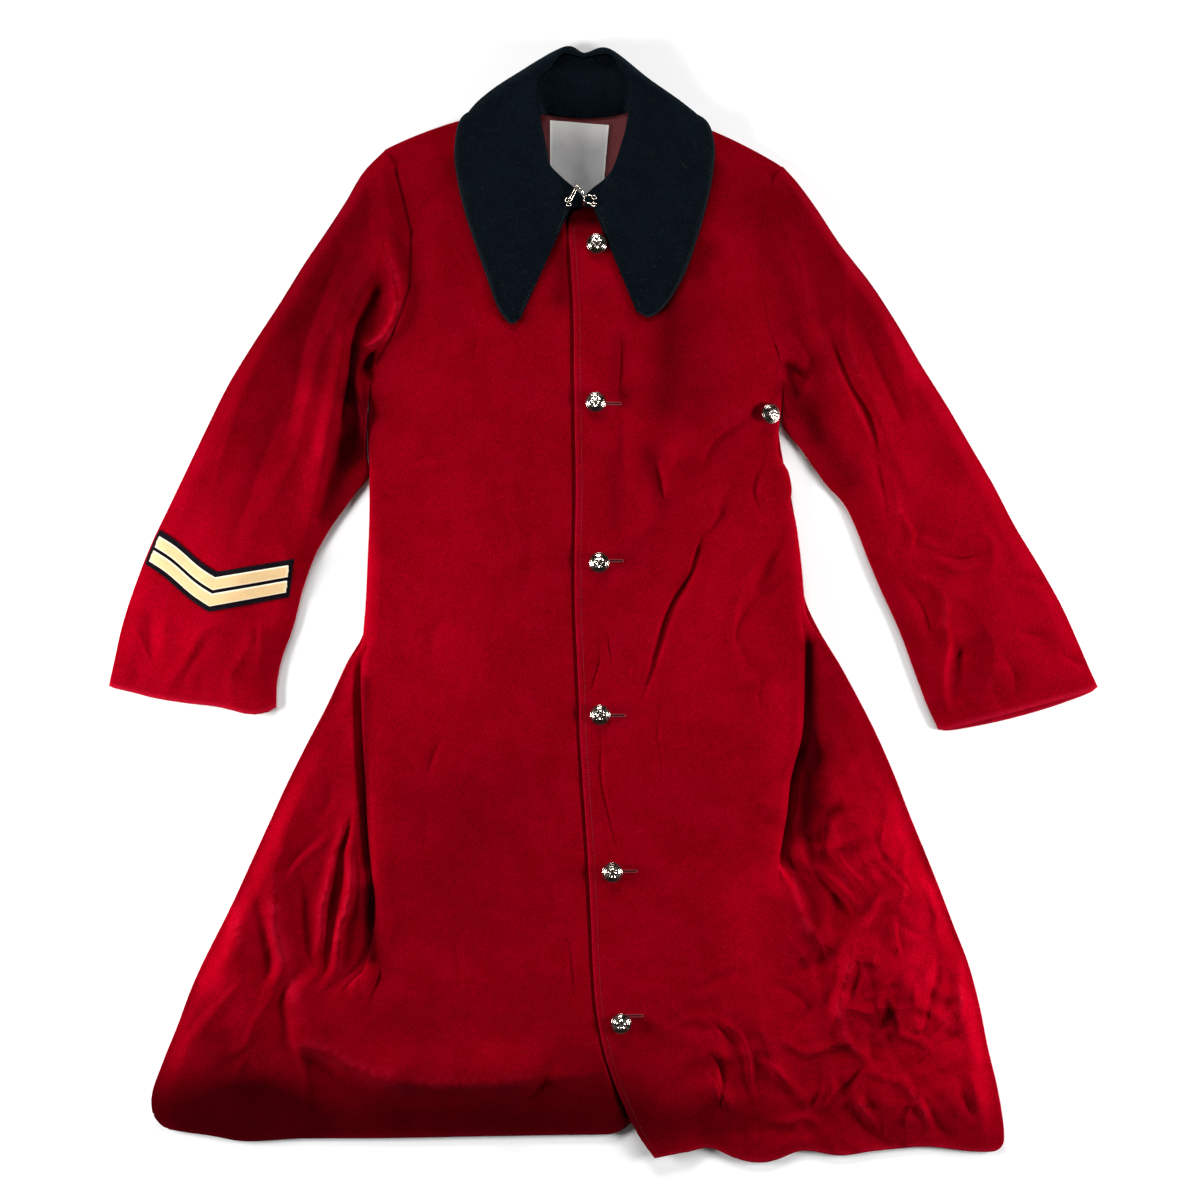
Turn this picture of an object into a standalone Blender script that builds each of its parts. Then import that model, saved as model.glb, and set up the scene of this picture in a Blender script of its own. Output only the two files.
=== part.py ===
"""Cavalry cloak of red melton, laid flat on its back, with a dark felt collar.

The cloak has sleeves and a tall pointed collar, as an officer's greatcoat has.
Tables give each piece's edges in millimetres as seen from above, in the plane
it lies on (x to the right, y towards the collar). Every cloth piece is a wall
of constant thickness round a middle surface, whose height comes from height():
how far the cloth stands off the panel below, plus a list of folds.
"""

import math

import bpy
import numpy as np

# Driving dimensions, millimetres
MELTON = 2.0  # thickness of the red cloth
FELT = 2.6  # collar: two layers of felt with an interlining
LINING = 0.8
SEAM = 0.4  # gap between neighbouring pieces
BUTTON_ACROSS = 23.0
BUTTON_RISE = 7.0
SIDE_ROLL = 16.0  # over this width the fronts round down to their side edges
SHOULDER_CROWN = 10.0  # how far the shoulder seam bows out from a straight line
MID_BACK = MELTON / 2
MID_REST = MELTON + SEAM + MELTON / 2  # middle of a wall that lies on the back
LAP = MELTON + 1.6  # from the middle of one front to the middle of the other

FRAME = np.array([0.0, 3.2, 0.0])  # from the tables' origin to the middle of the whole cloak

RED = (0.33, 0.003, 0.012, 1.0)
NAVY = (0.005, 0.010, 0.014, 1.0)

# Each front from the shoulder down: its inner end, its outer end, the edge it
# folds over at the side, how far it tucks under there, and that edge's form:
# 0 plain side edge, 1 folded over the skirt flare, 2 running out into it.
FRONT_COLUMNS = ("in_x", "in_y", "out_x", "out_y", "fold_x", "tuck", "form")
RIGHT_FRONT = (
    (-76, 568, -252, 520, -252, 0, 0),
    (-73, 530, -240, 497, -240, 0, 0),
    (-66, 500, -230, 470, -230, 0, 0),
    (-54, 472, -223, 440, -223, 0, 0),
    (-38, 456, -221, 410, -221, 0, 0),
    (4, 440, -222, 378, -222, 0, 0),
    (8, 395, -228, 343, -228, 0, 0),
    (9, 350, -243, 308, -243, 0, 0),
    (10, 310, -257, 282, -257, 0, 0),
    (10, 275, -267, 258, -267, 0, 0),
    (10, 235, -271, 222, -271, 0, 0),
    (10, 192, -272, 185, -272, 0, 0),
    (11, 146, -270, 146, -270, 0, 0),
    (11, 98, -270, 98, -270, 0, 0),
    (11, 48, -272, 48, -272, 0, 0),
    (11, 3, -274, 3, -274, 0, 0),
    (12, -36, -277, -36, -277, 0, 0.1),
    (13, -72, -297, -72, -279, 14, 0.8),
    (15, -118, -318, -118, -278, 26, 1),
    (16, -164, -342, -164, -276, 32, 1),
    (18, -210, -365, -210, -273, 34, 1),
    (20, -256, -386, -256, -271, 34, 1),
    (23, -302, -407, -302, -267, 32, 1),
    (25, -348, -428, -348, -262, 28, 1),
    (28, -386, -447, -386, -265, 20, 1),
    (31, -418, -463, -418, -273, 10, 1.2),
    (34, -450, -477, -450, -283, 4, 1.7),
    (38, -490, -491, -488, -292, 0, 2),
    (50, -532, -508, -530, -302, 0, 2),
    (62, -575, -521, -570, -310, 0, 2),
    (75, -612, -517, -604, -315, 0, 2),
)
LEFT_FRONT = (
    (32, 568, 204, 500, 204, 0, 0),
    (27, 530, 194, 482, 194, 0, 0),
    (16, 500, 184, 452, 184, 0, 0),
    (1, 474, 179, 425, 179, 0, 0),
    (-14, 456, 178, 395, 178, 0, 0),
    (-39, 444, 178, 368, 178, 0, 0),
    (-38, 395, 182, 342, 182, 0, 0),
    (-35, 345, 189, 313, 189, 0, 0),
    (-34, 305, 198, 285, 198, 0, 0),
    (-34, 265, 209, 253, 209, 0, 0),
    (-33, 235, 206, 226, 206, 0, 0),
    (-33, 200, 200, 200, 200, 0, 0),
    (-32, 158, 206, 158, 206, 0, 0),
    (-32, 112, 216, 112, 216, 0, 0),
    (-33, 60, 224, 60, 224, 0, 0),
    (-33, 8, 229, 8, 229, 0, 0),
    (-32, -30, 245, -30, 231, 4, 0.6),
    (-30, -72, 270, -72, 229, 20, 1),
    (-28, -118, 295, -118, 228, 30, 1),
    (-27, -156, 314, -156, 225, 32, 1),
    (-24, -202, 334, -202, 213, 28, 1),
    (-21, -246, 351, -246, 208, 20, 1),
    (-18, -290, 369, -290, 200, 8, 1.2),
    (-16, -330, 385, -330, 192, 3, 1.7),
    (-14, -372, 401, -372, 182, 0, 2),
    (-12, -420, 418, -416, 174, 0, 2),
    (-8, -468, 431, -464, 168, 0, 2),
    (2, -520, 441, -514, 166, 0, 2),
    (18, -565, 452, -560, 166, 0, 2),
    (38, -608, 459, -604, 166, 0, 2),
    (58, -636, 459, -632, 166, 0, 2),
)
ARMHOLE_ROWS = 10  # rows whose outer ends lie on the armhole seam
# How far the hem waves from the straight line between its two ends: x, y
RIGHT_HEM = ((-517, 0), (-487, -5), (-455, -9), (-416, -15), (-352, -11), (-244, -9), (-120, -5), (75, 0))
LEFT_HEM = ((58, -3), (97, 4), (122, 7), (152, -5), (174, -10), (195, -8), (228, 3), (271, -3), (312, 2), (372, 6), (426, 0), (459, 0))

# Each sleeve from the armhole to the cuff: outer edge, inner edge
SLEEVE_COLUMNS = ("out_x", "out_y", "in_x", "in_y")
RIGHT_SLEEVE = (
    (-252, 521, -267, 258),
    (-276, 493, -274, 236),
    (-296, 460, -275, 212),
    (-317, 428, -276, 190),
    (-345, 387, -276, 168),
    (-373, 342, -277, 146),
    (-403, 296, -287, 129),
    (-431, 250, -301, 110),
    (-454, 204, -318, 86),
    (-476, 158, -333, 60),
    (-498, 112, -343, 36),
    (-520, 66, -352, 8),
    (-538, 20, -361, -28),
    (-552, -26, -369, -64),
    (-562, -70, -377, -98),
    (-567, -99, -384, -124),
)
LEFT_SLEEVE = (
    (205, 502, 210, 253),
    (222, 479, 213, 236),
    (244, 449, 212, 220),
    (270, 410, 209, 207),
    (306, 364, 216, 194),
    (336, 318, 228, 178),
    (363, 272, 242, 158),
    (392, 226, 258, 136),
    (419, 180, 278, 114),
    (446, 134, 292, 86),
    (470, 88, 306, 50),
    (498, 42, 322, 12),
    (524, -4, 342, -32),
    (544, -48, 359, -78),
    (556, -76, 374, -118),
    (567, -100, 388, -148),
)

# Soft rises and hollows of the cloth: from (x, y) to (x, y), half width, height.
# A wide one is how the cloth stands off the back; a narrow one is a fold.
RELIEF_COLUMNS = ("x0", "y0", "x1", "y1", "wide", "high")
BODY_RELIEF = (
    (-150, 480, -140, 300, 70, 5),  # right chest
    (110, 480, 100, 280, 70, 5),  # left chest
    (-120, 180, -120, -120, 95, 8),
    (90, 180, 100, -120, 90, 8),
    (-130, -220, -110, -420, 110, 15),  # the belly of the right skirt
    (90, -220, 110, -440, 95, 13),
    (-20, 400, 10, -540, 34, 4),  # both fronts lie on each other here
    (-380, -250, -430, -480, 55, 8),  # right flare
    (300, -260, 380, -520, 60, 10),  # left flare
    (-272, 60, -270, -330, 26, 8),  # the rounded lip over the right flare
    (222, 40, 205, -230, 24, 8),
    (-355, -516, -226, -552, 26, 5),  # front edge of the belly
    (-226, -552, -80, -525, 26, 5),
    (166, 229, 93, 169, 16, 7),  # folds that run from the side button
    (93, 169, 66, 118, 14, 5),
    (145, 130, 105, 70, 15, -5),
    (104, 57, 52, -41, 16, -6),
    (52, -41, 35, -123, 15, -5),
    (22, 302, 14, 165, 12, -4),
    (66, -123, 64, -233, 14, -4),
    (-146, 300, -146, 278, 14, -3),
    (-205, 174, -170, 163, 12, -3),
    (-382, -306, -390, -362, 17, 6),  # folds of the right flare
    (-390, -362, -340, -500, 17, 7),
    (-411, -350, -392, -483, 15, -5),
    (-311, -316, -336, -400, 14, 5),
    (-368, -329, -345, -450, 14, -5),
    (-303, -277, -322, -425, 11, -4),
    (228, -276, 287, -366, 16, -7),  # folds of the left flare
    (287, -384, 270, -465, 14, 7),
    (270, -465, 300, -528, 14, 6),
    (300, -528, 239, -584, 14, -5),
    (302, -426, 349, -553, 15, 5),
    (379, -405, 350, -546, 15, -5),
    (412, -380, 369, -503, 15, 5),
    (248, -415, 169, -420, 14, -4),
    (195, -438, 231, -463, 14, 4),
    (172, -520, 246, -600, 15, 5),
    (400, -540, 430, -600, 16, 5),
    (110, -560, 130, -620, 16, 4),
    (-275, -320, -286, -410, 13, -6),
)
SLEEVE_RELIEF = (
    (-290, 430, -460, -60, 52, 10),
    (250, 440, 470, -80, 52, 10),
    (-266, 390, -310, 313, 17, 6),
    (-310, 313, -318, 200, 17, 7),
    (-275, 348, -298, 246, 13, -9),
    (-298, 246, -322, 97, 13, -9),
    (-290, 190, -300, 130, 20, -8),
    (-243, 378, -252, 330, 11, 6),
    (-252, 330, -287, 285, 11, 6),
    (-287, 285, -274, 205, 10, 6),
    (-298, 416, -350, 313, 22, -4),
    (-350, 313, -400, 120, 24, -4),
    (200, 440, 254, 305, 13, 5),
    (254, 305, 320, 83, 14, 6),
    (216, 275, 238, 246, 15, -7),
    (273, 394, 269, 344, 14, 4),
    (269, 344, 339, 133, 14, 5),
    (262, 330, 330, 110, 10, -5),
    (406, -60, 406, -100, 16, -3),
    (362, 74, 413, 54, 14, -3),
)

# The collar from the right leaf's tip round to the left one's: neck seam, roll
# line, outer edge, end of the cloth behind it, and how far it is tucked behind.
COLLAR_COLUMNS = ("neck_x", "neck_y", "roll_x", "roll_y", "edge_x", "edge_y", "tail_x", "tail_y", "tucked", "rise")
COLLAR = (
    (-43, 457, -41, 455, -103, 323, -106, 321, 0, 6),
    (-51, 468, -47, 466, -119, 343, -122, 342, 0, 6.5),
    (-59, 482, -54, 480, -133, 380, -136, 379, 0, 7.5),
    (-66, 500, -60, 498, -146, 417, -149, 416, 0, 8.5),
    (-71, 520, -66, 519, -157, 452, -160, 451, 0, 10),
    (-75, 540, -71, 541, -165, 487, -168, 487, 0, 10),
    (-76, 556, -74, 563, -168, 521, -171, 522, 0, 11),
    (-72, 567, -75, 584, -160, 553, -163, 556, 0, 12),
    (-66, 569, -73, 602, -140, 580, -136, 572, 0.8, 13),
    (-55, 568, -66, 617, -104, 606, -100, 578, 1, 14),
    (-42, 566, -47, 627, -49, 637, -62, 576, 1, 14),
    (-24, 564, -24, 625, -24, 632, -24, 574, 1, 13),
    (-2, 566, 4, 626, 6, 636, 12, 576, 1, 14),
    (12, 568, 22, 616, 52, 604, 52, 578, 1, 14),
    (24, 569, 29, 600, 88, 575, 84, 571, 0.8, 13),
    (31, 567, 31, 583, 112, 551, 115, 553, 0, 12),
    (33, 556, 29, 563, 122, 524, 125, 525, 0, 11),
    (29, 538, 25, 541, 120, 491, 123, 491, 0, 10),
    (23, 518, 19, 520, 113, 457, 116, 456, 0, 10),
    (16, 502, 12, 500, 103, 421, 106, 420, 0, 8.5),
    (7, 486, 3, 483, 89, 381, 92, 380, 0, 7.5),
    (-1, 472, -5, 468, 72, 349, 75, 348, 0, 6.5),
    (-9, 461, -12, 457, 52, 330, 55, 328, 0, 6),
)

# Each front button: x, y, and how far its seat is above the reckoned cloth
BUTTONS = ((-9, 411, -0.7), (-10, 229, -0.2), (-6, 45, -0.1), (-5, -129, -0.3), (9, -309, 0.1), (19, -482, -0.1))
SIDE_BUTTON = (190, 216)
SIDE_BUTTON_TILT = math.radians(24)
LABEL_CENTRE, LABEL_SIZE, LABEL_TURN = (-28, 512), (68, 86), math.radians(-6)
CHEVRON_SEAM = ((-444, 34), (-357, 49), (-513, 83))  # point of the V, its two ends
CHEVRON_BORDER, CHEVRON_BAR, CHEVRON_GAP = 6.0, 15.0, 4.0


def relief(table, x, y):
    """Sum of the rises and hollows: each fades with distance from its own line."""
    total = np.zeros_like(x, dtype=float)
    for row in table:
        f = dict(zip(RELIEF_COLUMNS, row))
        dx, dy = f["x1"] - f["x0"], f["y1"] - f["y0"]
        along = np.clip(((x - f["x0"]) * dx + (y - f["y0"]) * dy) / (dx * dx + dy * dy), 0, 1)
        apart = np.hypot(x - f["x0"] - along * dx, y - f["y0"] - along * dy)
        total += f["high"] * np.exp(-((apart / f["wide"]) ** 2))
    return total


def height(x, y):
    """Height of the middle of the top layer of cloth above the surface it lies on."""
    x, y = np.asarray(x, float), np.asarray(y, float)
    raised = relief(BODY_RELIEF, x, y) + relief(SLEEVE_RELIEF, x, y)
    floor = MID_REST + LAP + 0.6
    # No hollow reaches the panel below, so a soft minimum holds the sum above it.
    return floor + np.where(raised > 0, raised, 2.2 * np.tanh(raised / 2.2))


def smooth(t):
    t = np.clip(t, 0, 1)
    return t * t * (3 - 2 * t)


def lookup(table, columns):
    return {name: np.array([row[i] for row in table], float) for i, name in enumerate(columns)}


def normals(grid, ring=False):
    """Unit normals of a grid of points by central differences."""
    along = np.gradient(grid, axis=0)
    if ring:
        across = (np.roll(grid, -1, axis=1) - np.roll(grid, 1, axis=1)) / 2
    else:
        across = np.gradient(grid, axis=1)
    n = np.cross(along, across)
    return n / np.maximum(np.linalg.norm(n, axis=2, keepdims=True), 1e-9)


def material(name, colour, rough, metal=0.0):
    m = bpy.data.materials.new(name)
    m.use_nodes = True
    shader = m.node_tree.nodes["Principled BSDF"]
    shader.inputs["Base Color"].default_value = colour
    shader.inputs["Roughness"].default_value = rough
    shader.inputs["Metallic"].default_value = metal
    return m


def add(name, verts, faces, mat, smooth_shade=True):
    """One named object from points in millimetres, with its faces turned outwards."""
    verts = np.asarray(verts, float)
    volume = 0.0
    for f in faces:
        for a, b in zip(f[1:-1], f[2:]):
            volume += np.dot(verts[f[0]], np.cross(verts[a], verts[b]))
    if volume < 0:
        faces = [tuple(reversed(f)) for f in faces]
    mesh = bpy.data.meshes.new(name)
    mesh.from_pydata([tuple((v + FRAME) * 0.001) for v in verts], [], [tuple(map(int, f)) for f in faces])
    mesh.materials.append(mat)
    if smooth_shade:
        mesh.shade_smooth()
    mesh.set_sharp_from_angle(angle=math.radians(50))
    obj = bpy.data.objects.new(name, mesh)
    bpy.context.scene.collection.objects.link(obj)
    return obj


def wall(name, middle, thick, mat, ring=False):
    """A wall round a grid of middle points. A ring's columns close on themselves."""
    rows, cols = middle.shape[:2]
    n = normals(middle, ring)
    verts = np.concatenate([(middle + n * thick / 2).reshape(-1, 3), (middle - n * thick / 2).reshape(-1, 3)])
    under = rows * cols
    spans = cols if ring else cols - 1
    faces = []
    for i in range(rows - 1):
        for j in range(spans):
            a, b = i * cols + j, i * cols + (j + 1) % cols
            c, d = b + cols, a + cols
            faces += [(a, b, c, d), (under + d, under + c, under + b, under + a)]
    for j in range(spans):
        a, b = j, (j + 1) % cols
        faces.append((b, a, under + a, under + b))
        a, b = a + (rows - 1) * cols, b + (rows - 1) * cols
        faces.append((a, b, under + b, under + a))
    if not ring:
        for i in range(rows - 1):
            a, b = i * cols, (i + 1) * cols
            faces.append((a, b, under + b, under + a))
            a, b = a + cols - 1, b + cols - 1
            faces.append((b, a, under + a, under + b))
    return add(name, verts, faces, mat)


TOP_COLUMNS, FOLD_COLUMNS, FLARE_COLUMNS = 15, 8, 7


def front_middle(table, side, hem, lapped):
    """Middle surface of a front: a domed top, its fold at the side and its flare.

    side is the x direction that points away from the other front. lapped is
    True for the front that lies under the other one along its inner edge.
    """
    t = lookup(table, FRONT_COLUMNS)
    rows = len(table)
    grid = np.zeros((rows, TOP_COLUMNS + FOLD_COLUMNS + FLARE_COLUMNS, 3))
    lap_edge = lookup(LEFT_FRONT, FRONT_COLUMNS)
    for i in range(rows):
        in_x, in_y, out_x, out_y = (t[k][i] for k in ("in_x", "in_y", "out_x", "out_y"))
        fold_x, tuck, form = (t[k][i] for k in ("fold_x", "tuck", "form"))
        spread = abs(out_x - fold_x)

        def y_at(x):
            return in_y + (out_y - in_y) * (x - in_x) / (out_x - in_x)

        armhole = i < ARMHOLE_ROWS
        shoulder = smooth(1 - i / 1.5) * 0.75
        # Top layer: from the inner end to just short of the fold or side edge.
        reach = 1.0 if armhole else SIDE_ROLL
        last = fold_x - side * reach
        u = np.linspace(0, 1, TOP_COLUMNS)
        x = in_x + (last - in_x) * (u * (1.15 - 0.15 * u))
        y = y_at(x)
        z = height(x, y)
        # Behind it the fold: one curve of offsets outwards and heights.
        k = np.linspace(0, 1, FOLD_COLUMNS + FLARE_COLUMNS + 1)[1:]
        z_last = float(height(last, y_at(last)))
        turn = k * math.pi / 2
        if armhole:
            plain_d = -reach + reach * k
            plain_z = height(fold_x + side * plain_d, y_at(fold_x + side * plain_d))
        else:
            plain_d = -SIDE_ROLL * (1 - np.sin(turn))
            plain_z = MID_REST + (z_last - MID_REST) * np.cos(turn)
        lip = max(z_last, MID_REST + 2 * LAP + 3.4)
        low = MID_REST + LAP + 0.3
        fold_d = [-8, -1.5, 0, -3.5, -tuck, -tuck - 2.0, -tuck, -0.4 * tuck + 1]
        fold_z = [lip, (lip * 2 + low) / 3, (lip + low) / 2 - 0.6, low + 0.5, low, (low + MID_REST) / 2, MID_REST, MID_REST]
        flare = np.linspace(0, 1, FLARE_COLUMNS + 1)[1:]
        flare_d = 1 - 0.4 * tuck + (spread - 1 + 0.4 * tuck) * flare
        run_d = np.linspace(-10, min(46, spread), FOLD_COLUMNS)
        run_flare = run_d[-1] + (spread - run_d[-1]) * flare

        def on_flare(d):
            fx = fold_x + side * d
            rise = relief(BODY_RELIEF, fx, y_at(fx))
            start = smooth((d - 2) / 30) * smooth((spread - d) / 26)
            return MID_REST + np.maximum(rise, 0.0) * start

        def to_height(d):
            fx = fold_x + side * d
            ease = smooth((spread - d) / 26)
            return MID_REST + (height(fx, y_at(fx)) - MID_REST) * ease

        folded = np.concatenate([fold_d, flare_d]), np.concatenate([fold_z, on_flare(flare_d)])
        run_all = np.concatenate([run_d, run_flare])
        running = run_all, to_height(run_all)
        if form <= 1:
            w = smooth(form)
            d = plain_d * (1 - w) + folded[0] * w
            zz = plain_z * (1 - w) + folded[1] * w
        else:
            w = smooth(form - 1)
            d = folded[0] * (1 - w) + running[0] * w
            zz = folded[1] * (1 - w) + running[1] * w
        x = np.concatenate([x, fold_x + side * d])
        y = np.concatenate([y, y_at(fold_x + side * d)])
        z = np.concatenate([z, zz])
        if 0 < form < 1.5:  # lift the last of the top layer to the lip
            lift = smooth(form) * smooth((1.5 - form) * 2)
            near = smooth(1 - np.abs(x[:TOP_COLUMNS] - last) / 40)
            z[:TOP_COLUMNS] += lift * near * (lip - z_last)
        z = z * (1 - shoulder) + MID_REST * shoulder
        across = (x - in_x) / (out_x - in_x)
        if i < 3:
            y += (1 - i / 3) * SHOULDER_CROWN * np.sin(math.pi * np.clip(across, 0, 1)) ** 0.8
        # Near the hem the cloth comes down on the back.
        to_hem = abs(out_y - table[-1][3])
        down = 1 - np.sin(np.clip(to_hem / 72, 0, 1) * math.pi / 2) ** 0.9
        rest = np.full_like(z, MID_REST)
        if not lapped:
            rest += (LAP + 0.3) * smooth((120 - x) / 25)
        z = z * (1 - down) + rest * down
        if i >= rows - 3:
            weight = (0.2, 0.6, 1.0)[i - rows + 3]
            y += weight * np.interp(x, [p[0] for p in hem], [p[1] for p in hem])
        if lapped:  # dip under the other front
            edge = np.interp(-y, -lap_edge["in_y"][5:], lap_edge["in_x"][5:])
            below = smooth((x - edge + 26) / 20)
            z = np.maximum(z - LAP * below, MID_REST)
        grid[i] = np.stack([x, y, z], axis=1)
    return grid


def armhole_points(table):
    t = lookup(table, FRONT_COLUMNS)
    return np.stack([t["out_x"][:ARMHOLE_ROWS], t["out_y"][:ARMHOLE_ROWS]], axis=1)


def sleeve_plan(table, armhole, s, t):
    """Plan position on a sleeve: s from its outer to its inner edge, t down its length."""
    rows = np.array(table, float)
    at = np.clip(t, 0, 1) * (len(rows) - 1)
    edges = np.stack([np.interp(at, range(len(rows)), rows[:, k]) for k in range(4)], axis=-1)
    outer, inner = edges[..., :2], edges[..., 2:]
    knots = np.linspace(0, 1, len(armhole))
    chord = armhole[0] + (armhole[-1] - armhole[0]) * knots[:, None]
    bow = np.stack([np.interp(s, knots, (armhole - chord)[:, k]) for k in range(2)], axis=-1)
    fade = np.clip(1 - t / 0.4, 0, 1) ** 1.6
    return outer + (inner - outer) * s[..., None] + bow * fade[..., None]


SLEEVE_ROUND = 20.0
CUFF_DOWN = 0.12


def sleeve_height(p, s, t, width):
    """Height of the middle of a sleeve's upper layer."""
    z = height(p[..., 0], p[..., 1])
    low = MID_BACK + 3.0
    edge = np.minimum(s, 1 - s) * width
    near_body = smooth(1 - t / 0.16)
    rounded = np.sin(np.clip(edge / SLEEVE_ROUND, 0, 1) * math.pi / 2)
    z = low + (z - low) * rounded
    return low + (z - low) * (1 - 0.55 * smooth((t - 1 + CUFF_DOWN) / CUFF_DOWN)) + 0 * near_body


def sleeve_upper(table, armhole, s, t):
    p = sleeve_plan(table, armhole, s, t)
    ends = sleeve_plan(table, armhole, np.zeros_like(s), t) - sleeve_plan(table, armhole, np.ones_like(s), t)
    z = sleeve_height(p, s, t, np.linalg.norm(ends, axis=-1))
    return np.concatenate([p, z[..., None]], axis=-1)


def sleeve_middle(table, armhole, side, stations=20):
    """Rings of a flattened tube: upper layer, inner roll, lower layer, outer roll."""
    s = np.linspace(0, 1, len(armhole))
    rings = []
    for k in range(stations):
        t = k / (stations - 1)
        upper = sleeve_upper(table, armhole, s, np.full_like(s, t))
        lower = upper.copy()
        lower[:, 2] = MID_BACK
        out = upper[0, :2] - upper[-1, :2]
        out = out / np.linalg.norm(out)
        high = upper[0, 2]
        rolls = []
        for end, way in ((upper[-1], -1), (upper[0], 1)):
            a = np.radians([45, 0, -45])
            r = (high - MID_BACK) / 2
            xy = end[:2] + way * out * r * np.cos(a)[:, None]
            rolls.append(np.column_stack([xy, MID_BACK + r + r * np.sin(a)]))
        rings.append(np.concatenate([upper, rolls[0], lower[::-1], rolls[1][::-1]]))
    grid = np.array(rings)
    # The whole tube stands a seam's gap clear of the body at the armhole.
    fade = np.clip(1 - np.linspace(0, 1, stations) / 0.3, 0, 1)
    grid[:, :, 0] += side * (SEAM + 1.6) * fade[:, None]
    return grid


def back_outline():
    """Corners of the back, from the neck round by the right side and the hem."""
    r, l = lookup(RIGHT_FRONT, FRONT_COLUMNS), lookup(LEFT_FRONT, FRONT_COLUMNS)

    def crown(t):
        s = np.linspace(0.12, 0.88, 6)
        x = t["in_x"][0] + (t["out_x"][0] - t["in_x"][0]) * s
        y = t["in_y"][0] + (t["out_y"][0] - t["in_y"][0]) * s
        return np.column_stack([x, y + SHOULDER_CROWN * np.sin(math.pi * s) ** 0.8])

    right = np.column_stack([r["out_x"], r["out_y"]])
    left = np.column_stack([l["out_x"], l["out_y"]])
    hem_x = np.linspace(-440, 40, 10)
    right_hem = np.column_stack([hem_x, -604 - 8 * (hem_x + 517) / 592 + np.interp(hem_x, *zip(*RIGHT_HEM))])
    hem_x = np.linspace(90, 420, 12)
    left_hem = np.column_stack([hem_x, -636 + 4 * (hem_x - 58) / 401 + np.interp(hem_x, *zip(*LEFT_HEM))])
    neck = np.array([(32, 568), (14, 561), (-22, 558), (-58, 561), (-76, 568)], float)
    return np.concatenate([neck, crown(r), right, right_hem + (0, 3), left_hem + (0, 3), left[::-1], crown(l)[::-1]])


def flat_plate(name, outline, bottom, top, mat):
    """A flat plate with this outline between two heights."""
    n = len(outline)
    verts = [(*p, bottom) for p in outline] + [(*p, top) for p in outline]
    faces = [tuple(range(n)), tuple(range(2 * n - 1, n - 1, -1))]
    faces += [((i + 1) % n, i, n + i, n + (i + 1) % n) for i in range(n)]
    return add(name, verts, faces, mat, smooth_shade=False)


def collar_middles():
    """Middle surfaces of the collar's fall and of its stand."""
    c = lookup(COLLAR, COLLAR_COLUMNS)
    near, tail_steps = (0, 0.1, 0.26, 0.5, 0.75, 1), (0.12, 0.5, 1)
    fall, stand = [], []
    for i in range(len(COLLAR)):
        neck, roll, edge, tail = (np.array([c[k + "_x"][i], c[k + "_y"][i]]) for k in ("neck", "roll", "edge", "tail"))
        tucked, rise = c["tucked"][i], c["rise"][i]
        base = MID_REST + LAP + 8.0
        on_front = float(height(*roll)) if tucked < 0.5 else base - 2
        top = (on_front + rise) * (1 - tucked) + (base + 5) * tucked
        fall_row = []
        for f in near:
            p = roll + (edge - roll) * f
            lying = float(height(*p)) + MELTON / 2 + SEAM + FELT / 2 + 0.5
            z = lying + (top - lying) * (1 - smooth(f / 0.55)) if tucked < 0.5 else 0
            z_back = top + (7.0 - top) * f**2.2
            fall_row.append((*p, z * (1 - tucked) + z_back * tucked))
        for g in tail_steps:
            p = edge + (tail - edge) * g
            lying = float(height(*p)) + MELTON / 2 + SEAM + FELT / 2 + 0.5
            behind = FELT / 2 + (2.4 if g < 0.3 else 0)
            fall_row.append((*p, (0 if tucked >= 0.5 else lying) * (1 - tucked) + behind * (1 if tucked >= 0.5 else tucked)))
        fall.append(fall_row)
        foot = (float(height(*neck)) + MELTON / 2 + SEAM if tucked < 0.5 else 3.6) + 0.4
        crest = top - FELT / 2 - SEAM - (1.8 if i in (0, len(COLLAR) - 1) else 3.8)
        inward = neck + (roll - neck) * (0.97 if tucked >= 0.5 else 1.0)
        crest = max(crest, foot + 1.5)
        stand.append([(*(neck + (inward - neck) * f), foot + (crest - foot) * f ** (0.8 if tucked > 0.5 else 1)) for f in (0, 0.35, 0.7, 1)])
    return np.array(fall, float), np.array(stand, float)


def turned(profile, centre, tilt, sides=16):
    """Points and faces of a solid turned from (radius, height), tipped about y."""
    verts, faces = [], []
    for r, z in profile:
        for k in range(sides if r > 0 else 1):
            a = 2 * math.pi * k / sides
            verts.append((r * math.cos(a), r * math.sin(a), z))
    verts = np.array(verts)
    starts, at = [], 0
    for r, _ in profile:
        starts.append(at)
        at += sides if r > 0 else 1
    for (r0, _), (r1, _), a, b in zip(profile, profile[1:], starts, starts[1:]):
        for k in range(sides):
            m = (k + 1) % sides
            if r0 == 0:
                faces.append((a, b + m, b + k))
            elif r1 == 0:
                faces.append((a + k, a + m, b))
            else:
                faces.append((a + k, a + m, b + m, b + k))
    c, s = math.cos(tilt), math.sin(tilt)
    turned_verts = np.column_stack([verts[:, 0] * c + verts[:, 2] * s, verts[:, 1], -verts[:, 0] * s + verts[:, 2] * c])
    return turned_verts + centre, faces


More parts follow.
